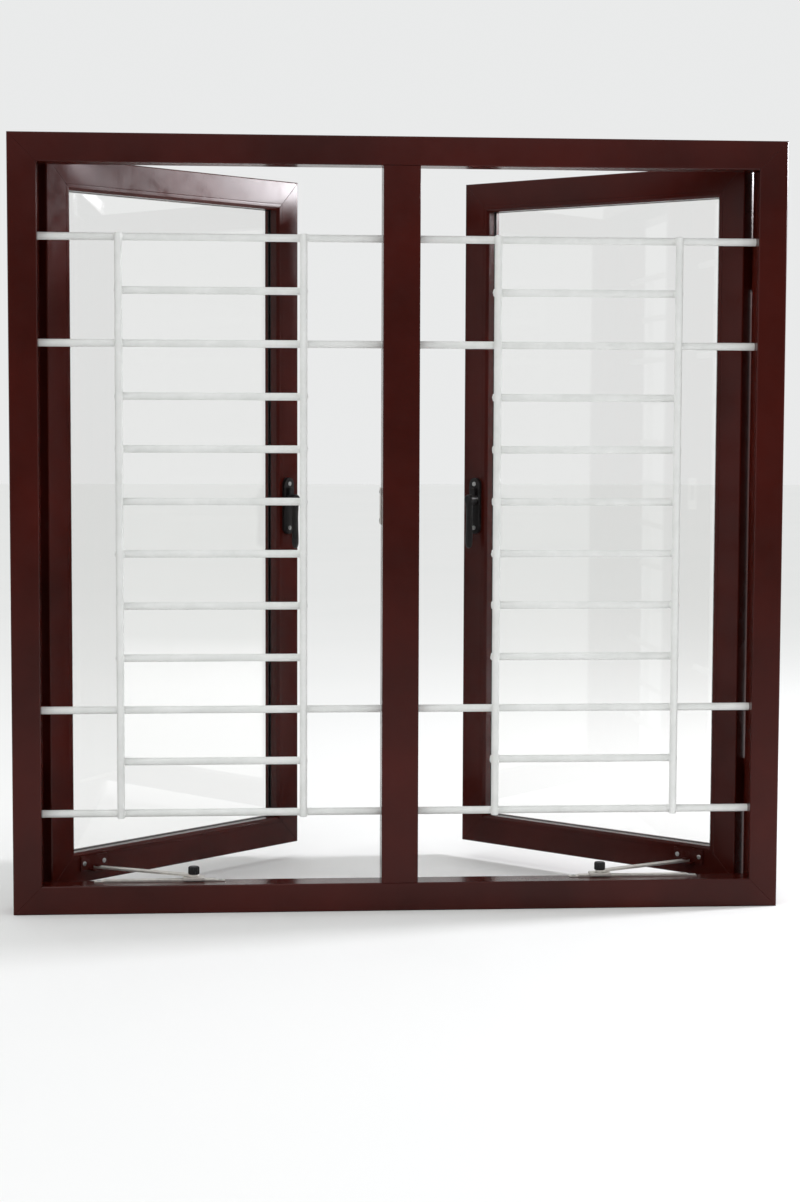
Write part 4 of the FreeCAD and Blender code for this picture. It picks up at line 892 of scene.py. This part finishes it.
def cast_lever(side, turn):
    """A lever with a round hub, a grip that waists in below it and swells to its end, and a flat nose."""
    low, high = extent([p for points in solids(f"handle_{side}_lever", turn) for p in points])
    pivot = turn.inverted() @ Vector(JOINTS[f"lever_{side}_turn"]["pos_m"])
    hub_radius, grip_half_width, grip_thickness = 9.5*MM, 7.5*MM, 9*MM
    nose_half_width, nose_depth, grip_bow = 5*MM, 6*MM, 0.8*MM
    hub_sides, grip_sides, grain = 32, 28, 0.55*MM
    squareness = 0.75    # 1 would make the grip's section an ellipse, and less fills its corners
    work = bmesh.new()
    deep = high.y - low.y
    rings = []
    for share, wide in ((0, 1), (0.12, 1), (0.5, 0.9), (0.86, 0.92), (1, 0.78)):
        y = high.y - share*deep
        rings.append([(pivot.x + hub_radius*wide*math.cos(t), y, pivot.z + hub_radius*wide*math.sin(t))
                      for t in (2*math.pi*i/hub_sides for i in range(hub_sides))])
    loft(work, rings)
    reach = pivot.z - low.z
    rings = []
    # each station of the grip: how far down it is, its width and its thickness, as shares
    stations = ((-0.10, 0.30, 0.5), (-0.07, 0.78, 0.8), (0.0, 0.98, 1.0), (0.14, 0.86, 1.0),
                (0.35, 0.78, 0.9), (0.6, 0.86, 0.86), (0.8, 0.98, 0.84), (0.92, 0.9, 0.76),
                (0.98, 0.6, 0.6), (1.0, 0.25, 0.3))
    for share, wide, fat in stations:
        z = pivot.z - share*reach
        bow = math.sin(math.pi*min(max(share, 0), 1))*grip_bow
        ring = []
        for t in (2*math.pi*i/grip_sides for i in range(grip_sides)):
            c, s = math.cos(t), math.sin(t)
            across = wide*math.copysign(abs(c)**squareness, c)
            through = fat*math.copysign(abs(s)**squareness, s)
            ring.append((pivot.x + grip_half_width*across,
                         low.y + bow + grip_thickness/2*(1 + through), z))
        rings.append(ring)
    loft(work, rings)
    nose = [(pivot.x + nose_half_width*a, high.y - nose_depth*b, z) for z in (pivot.z, high.z)
            for a, b in ((-1, 0), (1, 0), (1, 1), (-1, 1))]
    loft(work, [nose[:4], nose[4:]])
    work.transform(turn)
    bmesh.ops.recalc_face_normals(work, faces=work.faces)
    source = bpy.data.meshes.new("workpiece")
    work.to_mesh(source)
    work.free()
    mesh = evaluated(source, [("REMESH", {"mode": "VOXEL", "voxel_size": grain, "use_smooth_shade": True}),
                              ("SMOOTH", {"factor": 0.6, "iterations": 8})])
    mesh.shade_smooth()
    return mesh


def loft(work, rings):
    """Skins closed rings of points in order and caps both ends."""
    made = [[work.verts.new(p) for p in ring] for ring in rings]
    for first, second in zip(made, made[1:]):
        for i in range(len(first)):
            j = (i + 1) % len(first)
            work.faces.new((first[i], first[j], second[j], second[i]))
    work.faces.new(made[0][::-1])
    work.faces.new(made[-1])


# ---- stage ----------------------------------------------------------------------------------

def make_camera(stage):
    data = bpy.data.cameras.new("studio_camera")
    data.lens = stage.lens
    data.sensor_width = 36
    thing = bpy.data.objects.new("studio_camera", data)
    pitch, roll, yaw = stage.turn
    level = Matrix.Rotation(math.radians(90), 4, "X")
    turn = (Matrix.Rotation(yaw, 4, "Z") @ Matrix.Rotation(pitch, 4, "X")
            @ Matrix.Rotation(roll, 4, "Y") @ level)
    thing.matrix_world = Matrix.Translation(stage.eye) @ turn
    bpy.context.scene.collection.objects.link(thing)
    bpy.context.scene.camera = thing


def make_floor():
    """A plain pale floor of matt painted board."""
    mesh = bpy.data.meshes.new("floor")
    work = bmesh.new()
    half_width, front, back, drop = 14, -5.2, 22, 0.2*MM
    corners = ((-half_width, front), (half_width, front), (half_width, back), (-half_width, back))
    work.faces.new([work.verts.new((x, y, -drop)) for x, y in corners])
    work.to_mesh(mesh)
    work.free()
    thing = bpy.data.objects.new("floor", mesh)
    bpy.context.scene.collection.objects.link(thing)
    material, tree, where = start_material("matt_painted_board")
    colour = blend_colours(tree, noise(tree, where, 700, 2.0), "f0f0ef", "ecedec")
    end_material(tree, add(tree, "ShaderNodeBsdfPrincipled", {"Base Color": colour, "Roughness": 0.9,
                                                              "Specular IOR Level": 0.1}))
    mesh.materials.append(material)


def make_world(stage):
    """Pale all round behind the window, dimmer behind the camera so that the coat keeps its depth."""
    world = bpy.data.worlds.new("studio")
    world.use_nodes = True
    tree = world.node_tree
    tree.nodes.clear()
    way = add(tree, "ShaderNodeSeparateXYZ", {0: add(tree, "ShaderNodeTexCoord").outputs["Generated"]})
    share = add(tree, "ShaderNodeMapRange", {"Value": way.outputs[1], "From Min": -0.97, "From Max": -0.3,
                                             "To Min": stage.room, "To Max": stage.backdrop},
                interpolation_type="SMOOTHSTEP").outputs[0]
    sky = add(tree, "ShaderNodeBackground", {"Color": linear("fbfcfc"), "Strength": share})
    add(tree, "ShaderNodeOutputWorld", {"Surface": sky.outputs[0]})
    bpy.context.scene.world = world
    bpy.context.scene.view_settings.view_transform = "Standard"


def make_lights():
    """A broad soft overhead sun that evens the floor, and softboxes that shape the sections."""
    sun = bpy.data.lights.new("overhead_sun", "SUN")
    sun.energy = 0.62
    sun.angle = math.radians(50)
    aim_light(sun, (-1.2, -2.0, 4.2))
    for name, place, wide, tall, power in (("key_softbox", (0.2, -3.4, 2.1), 2.8, 0.8, 11),
                                           ("side_softbox", (3.3, 0.6, 1.68), 0.45, 0.45, 105)):
        data = bpy.data.lights.new(name, "AREA")
        data.shape = "RECTANGLE"
        data.size, data.size_y = wide, tall
        data.color = (0.97, 0.96, 1.0)
        data.energy = power
        aim_light(data, place)


def aim_light(data, place):
    """Stands a light at a place and points it at the middle of the window."""
    middle = Vector((0, 0, 0.6))
    thing = bpy.data.objects.new(data.name, data)
    thing.location = place
    thing.rotation_mode = "QUATERNION"
    thing.rotation_quaternion = (middle - Vector(place)).to_track_quat("-Z", "Y")
    thing.visible_camera = False
    bpy.context.scene.collection.objects.link(thing)


# ---- panel and registration -----------------------------------------------------------------

OPERATORS = (WINDOW_OT_stage, WINDOW_OT_members, WINDOW_OT_sashes, WINDOW_OT_glazing, WINDOW_OT_seals,
             WINDOW_OT_grille, WINDOW_OT_hinges, WINDOW_OT_screws, WINDOW_OT_handles, WINDOW_OT_stays,
             WINDOW_OT_inner_fittings)


class WINDOW_PT_tools(bpy.types.Panel):
    """Lists the window's pieces"""
    bl_idname = "WINDOW_PT_tools"
    bl_label = "Casement window"
    bl_space_type = "VIEW_3D"
    bl_region_type = "UI"
    bl_category = "Casement window"

    def draw(self, context):
        for group in (context.scene.window_looks, context.scene.window_stage):
            for field in group.__annotations__:
                self.layout.prop(group, field)
        for operator in OPERATORS:
            self.layout.operator(operator.bl_idname)


CLASSES = (WindowLooks, WindowStage, *OPERATORS, WINDOW_PT_tools)


def register():
    for item in CLASSES:
        bpy.utils.register_class(item)
    bpy.types.Scene.window_looks = bpy.props.PointerProperty(type=WindowLooks)
    bpy.types.Scene.window_stage = bpy.props.PointerProperty(type=WindowStage)


def unregister():
    del bpy.types.Scene.window_stage
    del bpy.types.Scene.window_looks
    for item in reversed(CLASSES):
        bpy.utils.unregister_class(item)


def main():
    register()
    bpy.ops.window.stage()
    bpy.ops.window.members()
    bpy.ops.window.sashes()
    bpy.ops.window.glazing()
    bpy.ops.window.seals()
    bpy.ops.window.grille()
    bpy.ops.window.hinges()
    bpy.ops.window.screws()
    bpy.ops.window.handles()
    bpy.ops.window.stays()
    bpy.ops.window.inner_fittings()


if __name__ == "__main__":
    main()
